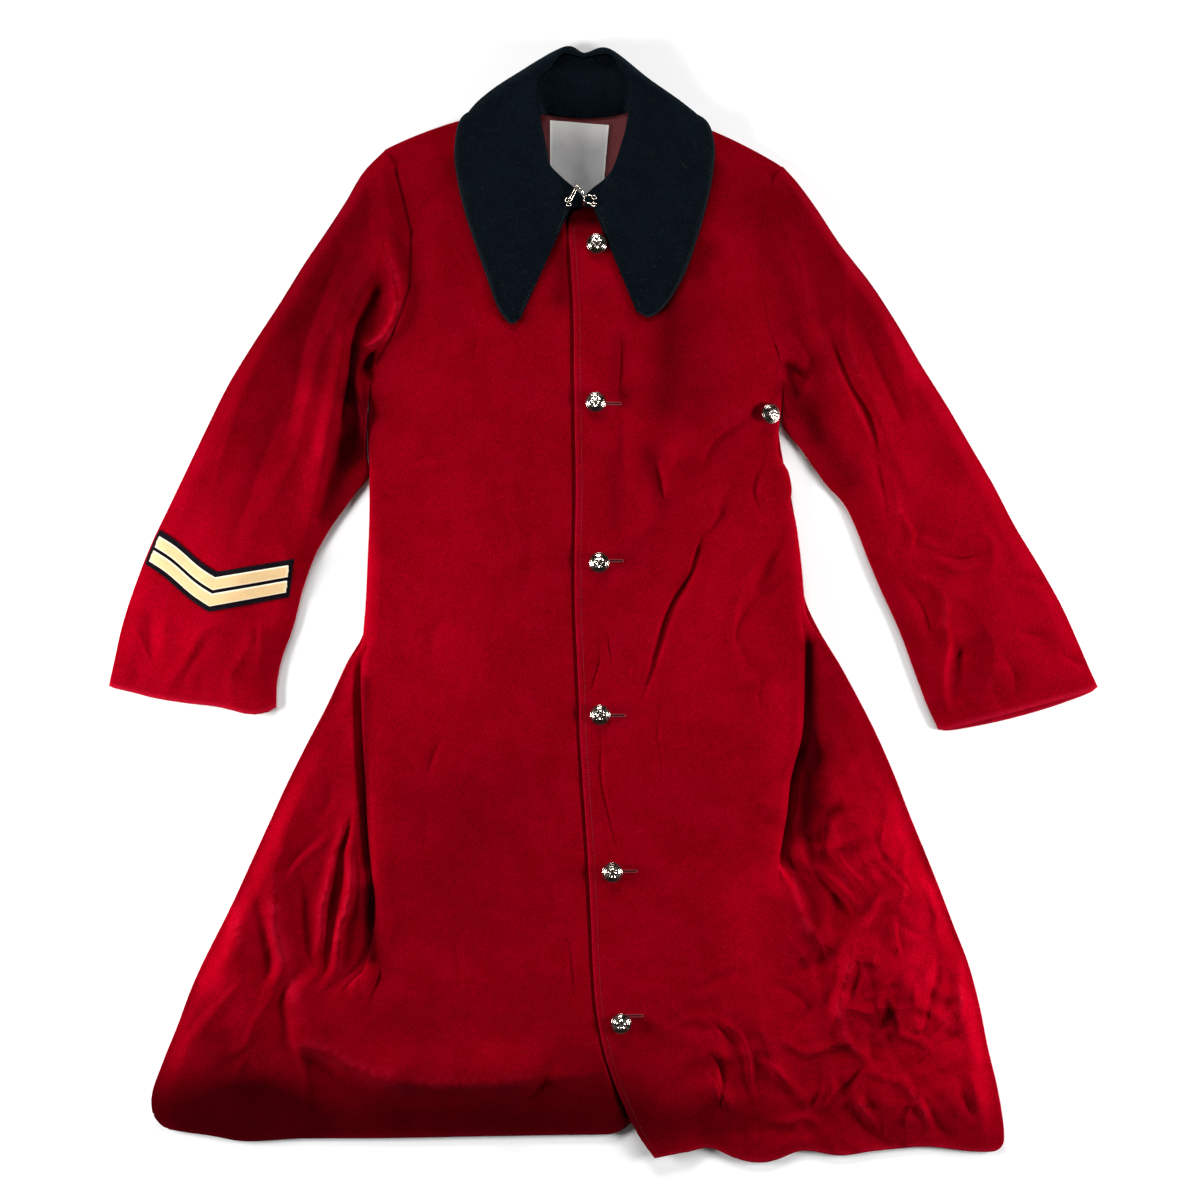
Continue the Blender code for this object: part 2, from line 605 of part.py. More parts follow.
def button(name, xy, mat, lift=0.0, tilt=0.0):
    """Domed button with a raised rim on a short shank; it stands on the cloth."""
    r, h = BUTTON_ACROSS / 2, BUTTON_RISE
    profile = [(0, 0), (3.0, 0), (3.0, 1.2), (r - 0.8, 1.6), (r, 2.2), (r, 3.0), (r - 1.0, 3.5)]
    for k in range(1, 4):
        a = math.radians(22 + 20 * k)
        profile.append(((r - 1.2) * math.cos(a), 1.9 + (h - 1.9) * math.sin(a) ** 0.9))
    profile.append((0, h))
    x, y = xy
    ring = [(x + q * math.cos(a), y + q * math.sin(a)) for q in (0, 3, 7, r) for a in np.linspace(0, 6, 7)]
    seat = max(float(height(*p)) - (0 if math.dist(p, xy) < 4 else 1.2) for p in ring)
    z = seat + MELTON / 2 + SEAM + lift
    verts, faces = turned(profile, (x, y, z), tilt)
    return add(name, verts, faces, mat)


def bent_wire(name, points, radius, mat):
    curve = bpy.data.curves.new(name, "CURVE")
    curve.dimensions = "3D"
    curve.bevel_depth = radius * 0.001
    curve.bevel_resolution = 1
    curve.use_fill_caps = True
    spline = curve.splines.new("POLY")
    spline.points.add(len(points) - 1)
    for point, p in zip(spline.points, points):
        point.co = (*((np.array(p, float) + FRAME) * 0.001), 1)
    curve.materials.append(mat)
    obj = bpy.data.objects.new(name, curve)
    bpy.context.scene.collection.objects.link(obj)
    return obj


def sleeve_coordinates(table, armhole, xy):
    """The (s, t) of a plan point on a sleeve, by a few steps of Newton's method."""
    st = np.array([0.5, 0.7])
    for _ in range(12):
        def at(v):
            return sleeve_plan(table, armhole, np.array(v[0]), np.array(v[1]))
        here, step = at(st), 1e-4
        grad = np.column_stack([(at(st + d) - here) / step for d in (np.array([step, 0]), np.array([0, step]))])
        st = np.clip(st + np.linalg.solve(grad, np.array(xy) - here), 0.005, 0.995)
    return st


def on_sleeve_strip(name, bands, lift, thick, mat):
    """A strip that lies on the right sleeve. bands holds two rows of plan points."""
    armhole = armhole_points(RIGHT_FRONT)
    first, second = (np.array([sleeve_coordinates(RIGHT_SLEEVE, armhole, p) for p in band]) for band in bands)
    rows = []
    for f in (0, 0.5, 1):
        st = first + (second - first) * f
        rows.append(sleeve_upper(RIGHT_SLEEVE, armhole, st[:, 0], st[:, 1]))
    middle = np.array(rows)
    up = normals(middle)
    up *= np.sign(up[..., 2:3])
    return wall(name, middle + up * (MELTON / 2 + lift + thick / 2), thick, mat)


def chevron_bands(near, far, steps=6):
    """Two rows of plan points between two offsets across the chevron's arms."""
    tip, inner, outer = (np.array(p, float) for p in CHEVRON_SEAM)
    rows = []
    for offset in (near, far):
        row = []
        for end, sign in ((outer, 1), (inner, -1)):
            way = (end - tip) / np.linalg.norm(end - tip)
            across = np.array([way[1], -way[0]]) * sign
            if across[1] > 0:
                across = -across
            stations = np.linspace(1, 0, steps + 1) if sign == 1 else np.linspace(0, 1, steps + 1)[1:]
            trim = 0 if near < 0.5 else CHEVRON_BORDER
            row += [tip + (end - tip) * (f * (1 - trim / np.linalg.norm(end - tip))) + across * offset for f in stations]
        # At the point of the V the two arms' offsets meet on their bisector.
        row[steps] = tip + np.array([0.06, -1.0]) * offset * 1.06
        rows.append(np.array(row))
    return rows


def build():
    for obj in list(bpy.data.objects):
        bpy.data.objects.remove(obj, do_unlink=True)
    red = material("red melton", RED, 0.9)
    navy = material("dark felt", NAVY, 0.95)
    lining = material("dull red lining", (0.12, 0.008, 0.012, 1), 0.8)
    white = material("white label", (0.6, 0.58, 0.55, 1), 0.8)
    silver = material("silver plate", (0.75, 0.73, 0.68, 1), 0.2, 1.0)
    gold = material("pale gold lace", (0.85, 0.62, 0.28, 1), 0.7)
    black = material("dark backing cloth", (0.008, 0.008, 0.012, 1), 0.95)

    flat_plate("back", back_outline(), 0.0, MELTON, red)
    wall("right_front", front_middle(RIGHT_FRONT, -1, RIGHT_HEM, True), MELTON, red)
    wall("left_front", front_middle(LEFT_FRONT, 1, LEFT_HEM, False), MELTON, red)
    wall("right_sleeve", sleeve_middle(RIGHT_SLEEVE, armhole_points(RIGHT_FRONT), -1), MELTON, red, ring=True)
    wall("left_sleeve", sleeve_middle(LEFT_SLEEVE, armhole_points(LEFT_FRONT), 1), MELTON, red, ring=True)

    fall, stand = collar_middles()
    wall("collar_fall", fall, FELT, navy)
    wall("collar_stand", stand, MELTON, navy)

    neck = np.array([(20, 562), (-22, 555), (-64, 562), (-72, 530), (-62, 492), (-44, 462), (-10, 462), (10, 492), (26, 530)], float)
    flat_plate("neck_lining", neck, MELTON + SEAM, MELTON + SEAM + LINING, lining)
    c, s = math.cos(LABEL_TURN), math.sin(LABEL_TURN)
    corners = [(a * LABEL_SIZE[0] / 2, b * LABEL_SIZE[1] / 2) for a, b in ((-1, -1), (1, -1), (1, 1), (-1, 1))]
    outline = [(LABEL_CENTRE[0] + a * c - b * s, LABEL_CENTRE[1] + a * s + b * c) for a, b in corners]
    flat_plate("label", outline, MELTON + 2 * SEAM + LINING, MELTON + 2 * SEAM + LINING + 0.5, white)

    for k, (x, y, lift) in enumerate(BUTTONS, 1):
        button(f"button_{k}", (x, y), silver, lift)
    button("side_button", SIDE_BUTTON, silver, -0.2, SIDE_BUTTON_TILT)

    z = float(height(-30, 456)) + MELTON / 2 + SEAM + 0.5
    bent_wire("hook", [(-36, 447, z), (-35, 454, z), (-31, 461, z + 0.5), (-27, 464, z + 1.6), (-23, 463, z + 3), (-22, 460, z + 3.4)], 0.9, silver)
    bent_wire("eye", [(-21, 449, z + 0.5), (-22, 455, z + 0.5), (-20, 461, z + 0.3), (-17, 462, z + 0.3), (-15.5, 457, z + 0.5), (-16, 450, z + 0.5)], 0.8, silver)

    full = 2 * CHEVRON_BORDER + 2 * CHEVRON_BAR + CHEVRON_GAP
    on_sleeve_strip("chevron_backing", chevron_bands(0.0, full), 1.3, 1.0, black)
    for k, name in enumerate(("chevron_upper_bar", "chevron_lower_bar")):
        start = CHEVRON_BORDER + k * (CHEVRON_BAR + CHEVRON_GAP)
        on_sleeve_strip(name, chevron_bands(start, start + CHEVRON_BAR), 1.3 + 1.0 + 0.6, 1.0, gold)


build()
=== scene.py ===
"""Looks of the cavalry cloak: red melton laid flat on its back, dark felt collar."""

import math

import bpy
import numpy as np
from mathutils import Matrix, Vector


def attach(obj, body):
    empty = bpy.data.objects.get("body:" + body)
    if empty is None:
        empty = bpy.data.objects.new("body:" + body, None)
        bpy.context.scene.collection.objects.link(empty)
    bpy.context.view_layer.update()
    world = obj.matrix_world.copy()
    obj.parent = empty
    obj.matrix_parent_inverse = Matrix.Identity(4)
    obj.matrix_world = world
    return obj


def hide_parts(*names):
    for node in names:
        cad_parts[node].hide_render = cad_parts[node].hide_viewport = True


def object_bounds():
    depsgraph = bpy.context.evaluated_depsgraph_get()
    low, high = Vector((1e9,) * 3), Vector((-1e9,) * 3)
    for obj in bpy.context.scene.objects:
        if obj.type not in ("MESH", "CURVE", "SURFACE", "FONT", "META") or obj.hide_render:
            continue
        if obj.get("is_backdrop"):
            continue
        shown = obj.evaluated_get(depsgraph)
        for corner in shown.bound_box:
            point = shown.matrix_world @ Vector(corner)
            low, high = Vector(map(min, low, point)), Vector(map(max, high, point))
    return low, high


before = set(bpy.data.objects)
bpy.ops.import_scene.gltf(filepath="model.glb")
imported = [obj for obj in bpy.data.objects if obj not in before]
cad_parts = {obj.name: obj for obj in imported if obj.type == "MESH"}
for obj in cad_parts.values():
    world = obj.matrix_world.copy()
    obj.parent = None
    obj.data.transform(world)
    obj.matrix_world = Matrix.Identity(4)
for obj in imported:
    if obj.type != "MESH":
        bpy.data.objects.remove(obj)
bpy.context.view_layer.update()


# The back is one panel of heavy red melton, a felted woollen cloth 2 mm thick.
# It lies flat on the table, and the fronts and sleeves rest on it all round.
MELTON = 2.0
SEAM = 0.4
MID_BACK = MELTON / 2
MID_REST = MELTON + SEAM + MELTON / 2
LAP = MELTON + 1.6
SHOULDER_CROWN = 10.0
# The round of the skirt's corners, right and left, and how far the back's hem stays inside the fronts'.
CORNER_ROUND = {-1: 15, 1: 12}
BACK_SHORTER = 3
MM = 0.001
# The tables count from a point 3.2 mm nearer the collar than the middle of the box.
TABLE_TO_ROW = np.array([0.0, 3.2, 0.0])
BACK_NECK = np.array([(-76, 568), (-58, 561), (-22, 558), (14, 561), (32, 568)], float)

# Each front from the shoulder down: inner end, outer end, the edge it folds
# over at the side, how far it tucks under there, and the form of that edge:
# 0 a plain side edge, 1 folded over the skirt's flare, 2 running out into it.
RIGHT_FRONT = np.array([
    (-76, 568, -252, 520, -252, 0, 0), (-73, 530, -240, 497, -240, 0, 0), (-66, 500, -230, 470, -230, 0, 0),
    (-54, 472, -223, 440, -223, 0, 0), (-38, 456, -221, 410, -221, 0, 0), (4, 440, -222, 378, -222, 0, 0),
    (8, 395, -228, 343, -228, 0, 0), (9, 350, -243, 308, -243, 0, 0), (10, 310, -257, 282, -257, 0, 0),
    (10, 275, -267, 258, -267, 0, 0), (10, 235, -271, 222, -271, 0, 0), (10, 192, -272, 185, -272, 0, 0),
    (11, 146, -270, 146, -270, 0, 0), (11, 98, -270, 98, -270, 0, 0), (11, 48, -272, 48, -272, 0, 0),
    (11, 3, -274, 3, -274, 0, 0), (12, -36, -277, -36, -277, 0, 0.1), (13, -72, -297, -72, -279, 14, 0.8),
    (15, -118, -318, -118, -278, 26, 1), (16, -164, -342, -164, -276, 32, 1), (18, -210, -365, -210, -273, 34, 1),
    (20, -256, -386, -256, -271, 34, 1), (23, -302, -407, -302, -267, 32, 1), (25, -348, -428, -348, -262, 28, 1),
    (28, -386, -447, -386, -265, 20, 1), (31, -418, -463, -418, -273, 10, 1.2), (34, -450, -477, -450, -283, 4, 1.7),
    (38, -490, -491, -488, -292, 0, 2), (50, -532, -508, -530, -302, 0, 2), (62, -575, -521, -570, -310, 0, 2),
    (75, -612, -517, -604, -315, 0, 2),
], float)
LEFT_FRONT = np.array([
    (32, 568, 204, 500, 204, 0, 0), (27, 530, 194, 482, 194, 0, 0), (16, 500, 184, 452, 184, 0, 0),
    (1, 474, 179, 425, 179, 0, 0), (-14, 456, 178, 395, 178, 0, 0), (-39, 444, 178, 368, 178, 0, 0),
    (-38, 395, 182, 342, 182, 0, 0), (-35, 345, 189, 313, 189, 0, 0), (-34, 305, 198, 285, 198, 0, 0),
    (-34, 265, 209, 253, 209, 0, 0), (-33, 235, 206, 226, 206, 0, 0), (-33, 200, 200, 200, 200, 0, 0),
    (-32, 158, 206, 158, 206, 0, 0), (-32, 112, 216, 112, 216, 0, 0), (-33, 60, 224, 60, 224, 0, 0),
    (-33, 8, 229, 8, 229, 0, 0), (-32, -30, 245, -30, 231, 4, 0.6), (-30, -72, 270, -72, 229, 20, 1),
    (-28, -118, 295, -118, 228, 30, 1), (-27, -156, 314, -156, 225, 32, 1), (-24, -202, 334, -202, 213, 28, 1),
    (-21, -246, 351, -246, 208, 20, 1), (-18, -290, 369, -290, 200, 8, 1.2), (-16, -330, 385, -330, 192, 3, 1.7),
    (-14, -372, 401, -372, 182, 0, 2), (-12, -420, 418, -416, 174, 0, 2), (-8, -468, 431, -464, 168, 0, 2),
    (2, -520, 441, -514, 166, 0, 2), (18, -565, 452, -560, 166, 0, 2), (38, -608, 459, -604, 166, 0, 2),
    (58, -636, 459, -632, 166, 0, 2),
], float)
# How far the hem waves from the straight line between its two ends: x, y.
RIGHT_HEM = np.array([
    (-517, 0), (-487, -5), (-455, -9), (-416, -15), (-352, -11), (-244, -9), (-120, -5), (-10, -2), (8, -1), (20, 4),
    (30, 12), (40, 21), (75, 26),
], float)
LEFT_HEM = np.array([
    (58, -3), (97, 4), (122, 7), (152, -5), (174, -10), (195, -8), (228, 3), (271, -3), (312, 2), (372, 6), (426, 0),
    (459, 0),
], float)


def ease(t):
    """0 to 1 in an S, level at both ends: three t squared less two t cubed."""
    t = np.clip(t, 0, 1)
    return t * t * (3 - 2 * t)


def bell(x, wide):
    """1 at nought, falling on both sides: e to the minus square of x over wide."""
    return np.exp(-((x / wide) ** 2))


def unit(v):
    """Vectors along the last axis, each divided by its length."""
    return v / np.maximum(np.linalg.norm(v, axis=-1, keepdims=True), 1e-9)


def run_length(path):
    """How far along a path each of its points lies: the sum of the steps up to it."""
    return np.concatenate([[0], np.cumsum(np.linalg.norm(np.diff(path, axis=0), axis=1))])


def points_at(path, length, at):
    """Points of a path, read in straight steps where its length has come to at."""
    return np.stack([np.interp(at, length, axis) for axis in path.T], axis=1)


def between(values, at):
    """Values between a table's rows: cubic pieces whose slope at a row is that of the chord of its neighbours."""
    values = np.asarray(values, float)
    last = len(values) - 1
    at = np.clip(np.asarray(at, float), 0, last)
    low = np.minimum(at.astype(int), last - 1)
    f = at - low
    f = f.reshape(f.shape + (1,) * (values.ndim - 1))
    slope = np.gradient(values, axis=0)
    ends = values[low] * (1 + 2 * f) * (1 - f) ** 2 + values[low + 1] * f * f * (3 - 2 * f)
    return ends + slope[low] * f * (1 - f) ** 2 - slope[low + 1] * f * f * (1 - f)


def waved(line, at):
    """The wave at some way along an edge, smooth between its named points."""
    return between(line[:, 1], np.interp(at, line[:, 0], np.arange(len(line))))


def grid_normals(grid, ring=False):
    """Unit normals of a grid of points: the cross product of its central differences."""
    across = (np.roll(grid, -1, axis=1) - np.roll(grid, 1, axis=1)) / 2 if ring else np.gradient(grid, axis=1)
    return unit(np.cross(np.gradient(grid, axis=0), across))


def quads(numbers, ring=False):
    """Four-cornered faces between the points of a numbered grid; a ring joins its last column to its first."""
    if ring:
        numbers = np.concatenate([numbers, numbers[:, :1]], axis=1)
    corners = [numbers[:-1, :-1], numbers[:-1, 1:], numbers[1:, 1:], numbers[1:, :-1]]
    return np.stack(corners, axis=2).reshape(-1, 4)


def carry(mesh, name, values):
    """Gives a mesh a named number at each of its points, for its material to read."""
    mesh.attributes.new(name, "FLOAT", "POINT").data.foreach_set("value", np.asarray(values, np.float32))


def add_mesh(name, points, faces, material, uv=None, wear_and_painted_light=None, sharp=50):
    """A mesh object from points in table millimetres, its faces turned outwards if its volume comes out negative."""
    points = np.asarray(points, float)
    mesh = bpy.data.meshes.new(name)
    mesh.from_pydata(((points + TABLE_TO_ROW) * MM).tolist(), [], faces)
    mesh.calc_loop_triangles()
    corners = np.empty(3 * len(mesh.loop_triangles), np.int32)
    mesh.loop_triangles.foreach_get("vertices", corners)
    a, b, c = np.moveaxis((points - points.mean(axis=0))[corners.reshape(-1, 3)], 1, 0)
    if np.einsum("ij,ij->", a, np.cross(b, c)) < 0:
        mesh.flip_normals()
    mesh.materials.append(material)
    mesh.shade_smooth()
    mesh.set_sharp_from_angle(angle=math.radians(sharp))
    if uv is not None:
        corner = np.empty(len(mesh.loops), np.int32)
        mesh.loops.foreach_get("vertex_index", corner)
        layer = mesh.uv_layers.new(name="cloth")
        layer.data.foreach_set("uv", np.asarray(uv, np.float32)[corner].ravel())
    if wear_and_painted_light is not None:
        carry(mesh, "wear_and_painted_light", wear_and_painted_light)
    if material == red_melton:
        # The red melton's darkening is painted shade, and painted light where it is less than the plain amount.
        x, y = points[:, 0], points[:, 1]
        carry(mesh, "darkening", np.clip(PLAIN_DULL + rises(PAINTED_SHADE_AND_LIGHT, x, y), 0, 0.95))
        carry(mesh, "crushed", np.clip(rises(CRUSHED, x, y), 0, 1))
    piece = bpy.data.objects.new(name, mesh)
    bpy.context.scene.collection.objects.link(piece)
    return piece


def cloth_shell(name, middle, thick, material, ring=False, thin=3, wear_and_painted_light=0.0):
    """A wall round a grid of middle points: the outside at half the thickness along the normal, the inside opposite
    on every third row and column, and round its free edges a rolled rim of half a circle, with the polygons that
    close it."""
    rows, cols = middle.shape[:2]
    n = grid_normals(middle, ring)
    outwards = np.einsum("ijk,ijk->ij", n, middle - middle.mean(axis=1, keepdims=True)) if ring else n[..., 2]
    if outwards.mean() < 0:
        n = -n
    half = thick / 2
    outside = middle + n * half
    inside = (middle - n * half)[::thin, ::thin]
    u, v = np.zeros((rows, cols)), np.zeros((rows, cols))
    u[:, 1:] = np.cumsum(np.linalg.norm(np.diff(middle, axis=1), axis=2), axis=1)
    v[1:] = np.cumsum(np.linalg.norm(np.diff(middle, axis=0), axis=2), axis=0)
    numbers = np.arange(rows * cols).reshape(rows, cols)
    in_numbers = rows * cols + np.arange(inside.shape[0] * inside.shape[1]).reshape(inside.shape[:2])
    faces = quads(numbers, ring).tolist() + quads(in_numbers, ring)[:, ::-1].tolist()
    points = [outside.reshape(-1, 3), inside.reshape(-1, 3)]
    source = [numbers.ravel(), numbers[::thin, ::thin].ravel()]
    start = rows * cols + in_numbers.size
    i, j = np.arange(rows), np.arange(cols)
    if ring:
        loops = [(0 * j, j), (0 * j + rows - 1, -j % cols)]
    else:
        down = np.concatenate([0 * j[1:], i[:-1], 0 * j[1:] + rows - 1, i[:0:-1]])
        loops = [(down, np.concatenate([j[:-1], 0 * i[1:] + cols - 1, j[:0:-1], 0 * i[1:]]))]
    for r, c in loops:
        edge, up = middle[r, c], n[r, c]
        out = np.cross(np.roll(edge, -1, axis=0) - np.roll(edge, 1, axis=0), up)
        inner = middle[np.clip(r, 1, rows - 2), c if ring else np.clip(c, 1, cols - 2)]
        out = unit(out * np.sign(np.einsum("ij,ij->i", out, edge - inner))[:, None])
        previous, count = numbers[r, c], len(r)
        for angle in np.radians((50, 0, -50)):
            ringed = start + np.arange(count)
            points.append(edge + half * (out * math.cos(angle) + up * math.sin(angle)))
            source.append(numbers[r, c])
            corners = [np.roll(previous, -1), previous, ringed, np.roll(ringed, -1)]
            faces += np.stack(corners, axis=1).tolist()
            previous = ringed
            start += count
        coarse = in_numbers[r[::thin] // thin, c[::thin] // thin]
        at = np.arange(0, count, thin)[:, None]
        fine = previous[(at + np.arange(thin, -1, -1)) % count]
        faces += np.concatenate([fine, coarse[at // thin], coarse[(at // thin + 1) % len(coarse)]], axis=1).tolist()
    source = np.concatenate(source)
    uv = np.stack([u, v], axis=2).reshape(-1, 2)[source] * MM
    wear_and_highlight = np.broadcast_to(wear_and_painted_light, (rows, cols)).ravel()[source]
    return add_mesh(name, np.concatenate(points), faces, material, uv, wear_and_highlight)


def connect(tree, node, inputs):
    """Sets each named input of a shader node, or links it where the value is another node's socket."""
    for key, value in inputs.items():
        if isinstance(value, bpy.types.NodeSocket):
            tree.links.new(value, node.inputs[key])
        else:
            node.inputs[key].default_value = value


def add_node(tree, kind, inputs=(), **settings):
    """One shader node with its settings and its inputs."""
    made = tree.nodes.new(kind)
    for key, value in settings.items():
        setattr(made, key, value)
    connect(tree, made, dict(inputs))
    return made


def grey_ramp(tree, value, low, high, dark=0.0, light=1.0):
    """Maps value from low..high to dark..light with an eased step."""
    ends = {"Value": value, "From Min": low, "From Max": high, "To Min": dark, "To Max": light}
    return add_node(tree, "ShaderNodeMapRange", ends, interpolation_type="SMOOTHSTEP").outputs["Result"]


def tint(tree, first, second, factor, how="MIX"):
    """Mixes two colours, each a socket or a colour, by a factor."""
    mix = add_node(tree, "ShaderNodeMix", data_type="RGBA", blend_type=how)
    number = {socket.identifier: k for k, socket in enumerate(mix.inputs)}
    connect(tree, mix, {number["A_Color"]: first, number["B_Color"]: second, number["Factor_Float"]: factor})
    return next(s for s in mix.outputs if s.identifier == "Result_Color")


def noise(tree, place, scale, detail, rough):
    """The outputs of a cloudy noise: how many clouds to a metre, how many finer layers, and how strong each is."""
    inputs = {"Vector": place, "Scale": scale, "Detail": detail, "Roughness": rough}
    return add_node(tree, "ShaderNodeTexNoise", inputs).outputs


def maths(tree, how, first, second):
    """Two numbers, each a socket or a plain value, multiplied, raised to a power and so on."""
    return add_node(tree, "ShaderNodeMath", {0: first, 1: second}, operation=how).outputs["Value"]


def carried(tree, name):
    """The number that the mesh carries under a name."""
    return add_node(tree, "ShaderNodeAttribute", attribute_name=name, attribute_type="GEOMETRY").outputs["Fac"]


def turned(tree, place, angle, scale=(1.0, 1.0, 1.0)):
    """A place scaled, and turned by so many degrees about the upright."""
    inputs = {"Vector": place, "Rotation": (0, 0, math.radians(angle)), "Scale": scale}
    return add_node(tree, "ShaderNodeMapping", inputs).outputs["Vector"]


def bump(tree, strength, depth, height_map, below=None):
    """Normals of a surface raised by a height map, laid over those of a coarser one if there is one."""
    inputs = {"Strength": strength, "Distance": depth, "Height": height_map}
    if below is not None:
        inputs["Normal"] = below
    return add_node(tree, "ShaderNodeBump", inputs).outputs["Normal"]


def new_material(name):
    """A new material, its node tree and its main shader."""
    made = bpy.data.materials.new(name)
    made.use_nodes = True
    return made, made.node_tree, made.node_tree.nodes["Principled BSDF"]


def woollen(name, deep, middle, bright, pale_fibre_and_highlight, rough=0.92, nap=(420, 190), fuzz=0.5, sheen=0.10,
            sheen_tint=(1, 0.05, 0.14, 1)):
    """Felted wool: blotches of dye, nap brushed down the cloth, crossed threads that show faintly through it, single
    pale fibres, and a bump from fibres finer than a millimetre. Wear and painted highlight that the mesh carries
    turn it to the fibres' pale colour, and the darkening it carries, painted shade, turns it darker."""
    made, tree, shader = new_material(name)
    place = add_node(tree, "ShaderNodeTexCoord").outputs["Object"]
    cloth = add_node(tree, "ShaderNodeUVMap", uv_map="cloth").outputs["UV"]
    dye = noise(tree, place, 26.0, 5.0, 0.62)["Fac"]
    streaks = noise(tree, turned(tree, cloth, 0, (*nap, 1.0)), 1.0, 4.0, 0.65)
    grain = noise(tree, place, 760.0, 2.0, 0.75)
    lint = noise(tree, place, 620.0, 2.0, 0.7)["Fac"]
    base = tint(tree, deep, middle, grey_ramp(tree, dye, 0.34, 0.68))
    base = tint(tree, base, bright, grey_ramp(tree, streaks["Fac"], 0.45, 0.9, 0.0, 0.55))
    base = tint(tree, base, pale_fibre_and_highlight, carried(tree, "wear_and_painted_light"))
    base = tint(tree, base, (0.5, 0.5, 0.5, 1), grey_ramp(tree, grain["Fac"], 0.64, 0.36, 0.0, 0.75), "MULTIPLY")
    base = tint(tree, base, pale_fibre_and_highlight, grey_ramp(tree, lint, 0.60, 0.78, 0.0, 0.6))
    # Painted shade: the darkening the mesh carries turns the colour darker, less where painted light is laid.
    base = tint(tree, base, (0.08, 0.08, 0.10, 1), carried(tree, "darkening"), "MULTIPLY")
    # Where it was crushed, sharp ridges part hollow facets a few fingers wide.
    wander = noise(tree, place, 13.0, 2.0, 0.5)
    facet_place = tint(tree, turned(tree, place, 32, (1.0, 0.55, 1.0)), wander["Color"], 0.07)
    facets = add_node(
        tree, "ShaderNodeTexVoronoi", {"Vector": facet_place, "Scale": 19.0}, feature="F1", distance="EUCLIDEAN"
    ).outputs["Distance"]
    patchy = grey_ramp(tree, wander["Fac"], 0.38, 0.58, 0.15, 1.0)
    crushed = maths(tree, "MULTIPLY", carried(tree, "crushed"), patchy)
    hollows = maths(tree, "MULTIPLY", maths(tree, "POWER", facets, 1.5), crushed)
    # Twill threads on the slant, not quite 3 mm apart, under the felted fibres.
    slant = {"Vector": turned(tree, cloth, 52), "Scale": 115.0, "Distortion": 1.6, "Detail": 2.0, "Detail Scale": 3.0}
    threads = add_node(tree, "ShaderNodeTexWave", slant, wave_type="BANDS", bands_direction="X", wave_profile="SIN")
    fibres = noise(tree, place, 1100.0, 4.0, 0.6)["Color"]
    pile = tint(tree, fibres, threads.outputs["Color"], 0.22)
    pile = tint(tree, pile, streaks["Color"], 0.25)
    pile = tint(tree, pile, grain["Color"], 0.4)
    creases = bump(tree, 1.0, 0.014, hollows)
    look = {
        "Base Color": base,
        "Roughness": grey_ramp(tree, streaks["Fac"], 0.2, 0.8, rough, rough - 0.1),
        "Specular IOR Level": 0.0,
        "Sheen Weight": sheen,
        "Sheen Roughness": 0.45,
        "Sheen Tint": sheen_tint,
        "Normal": bump(tree, fuzz, 0.0011, pile, creases),
    }
    connect(tree, shader, look)
    return made


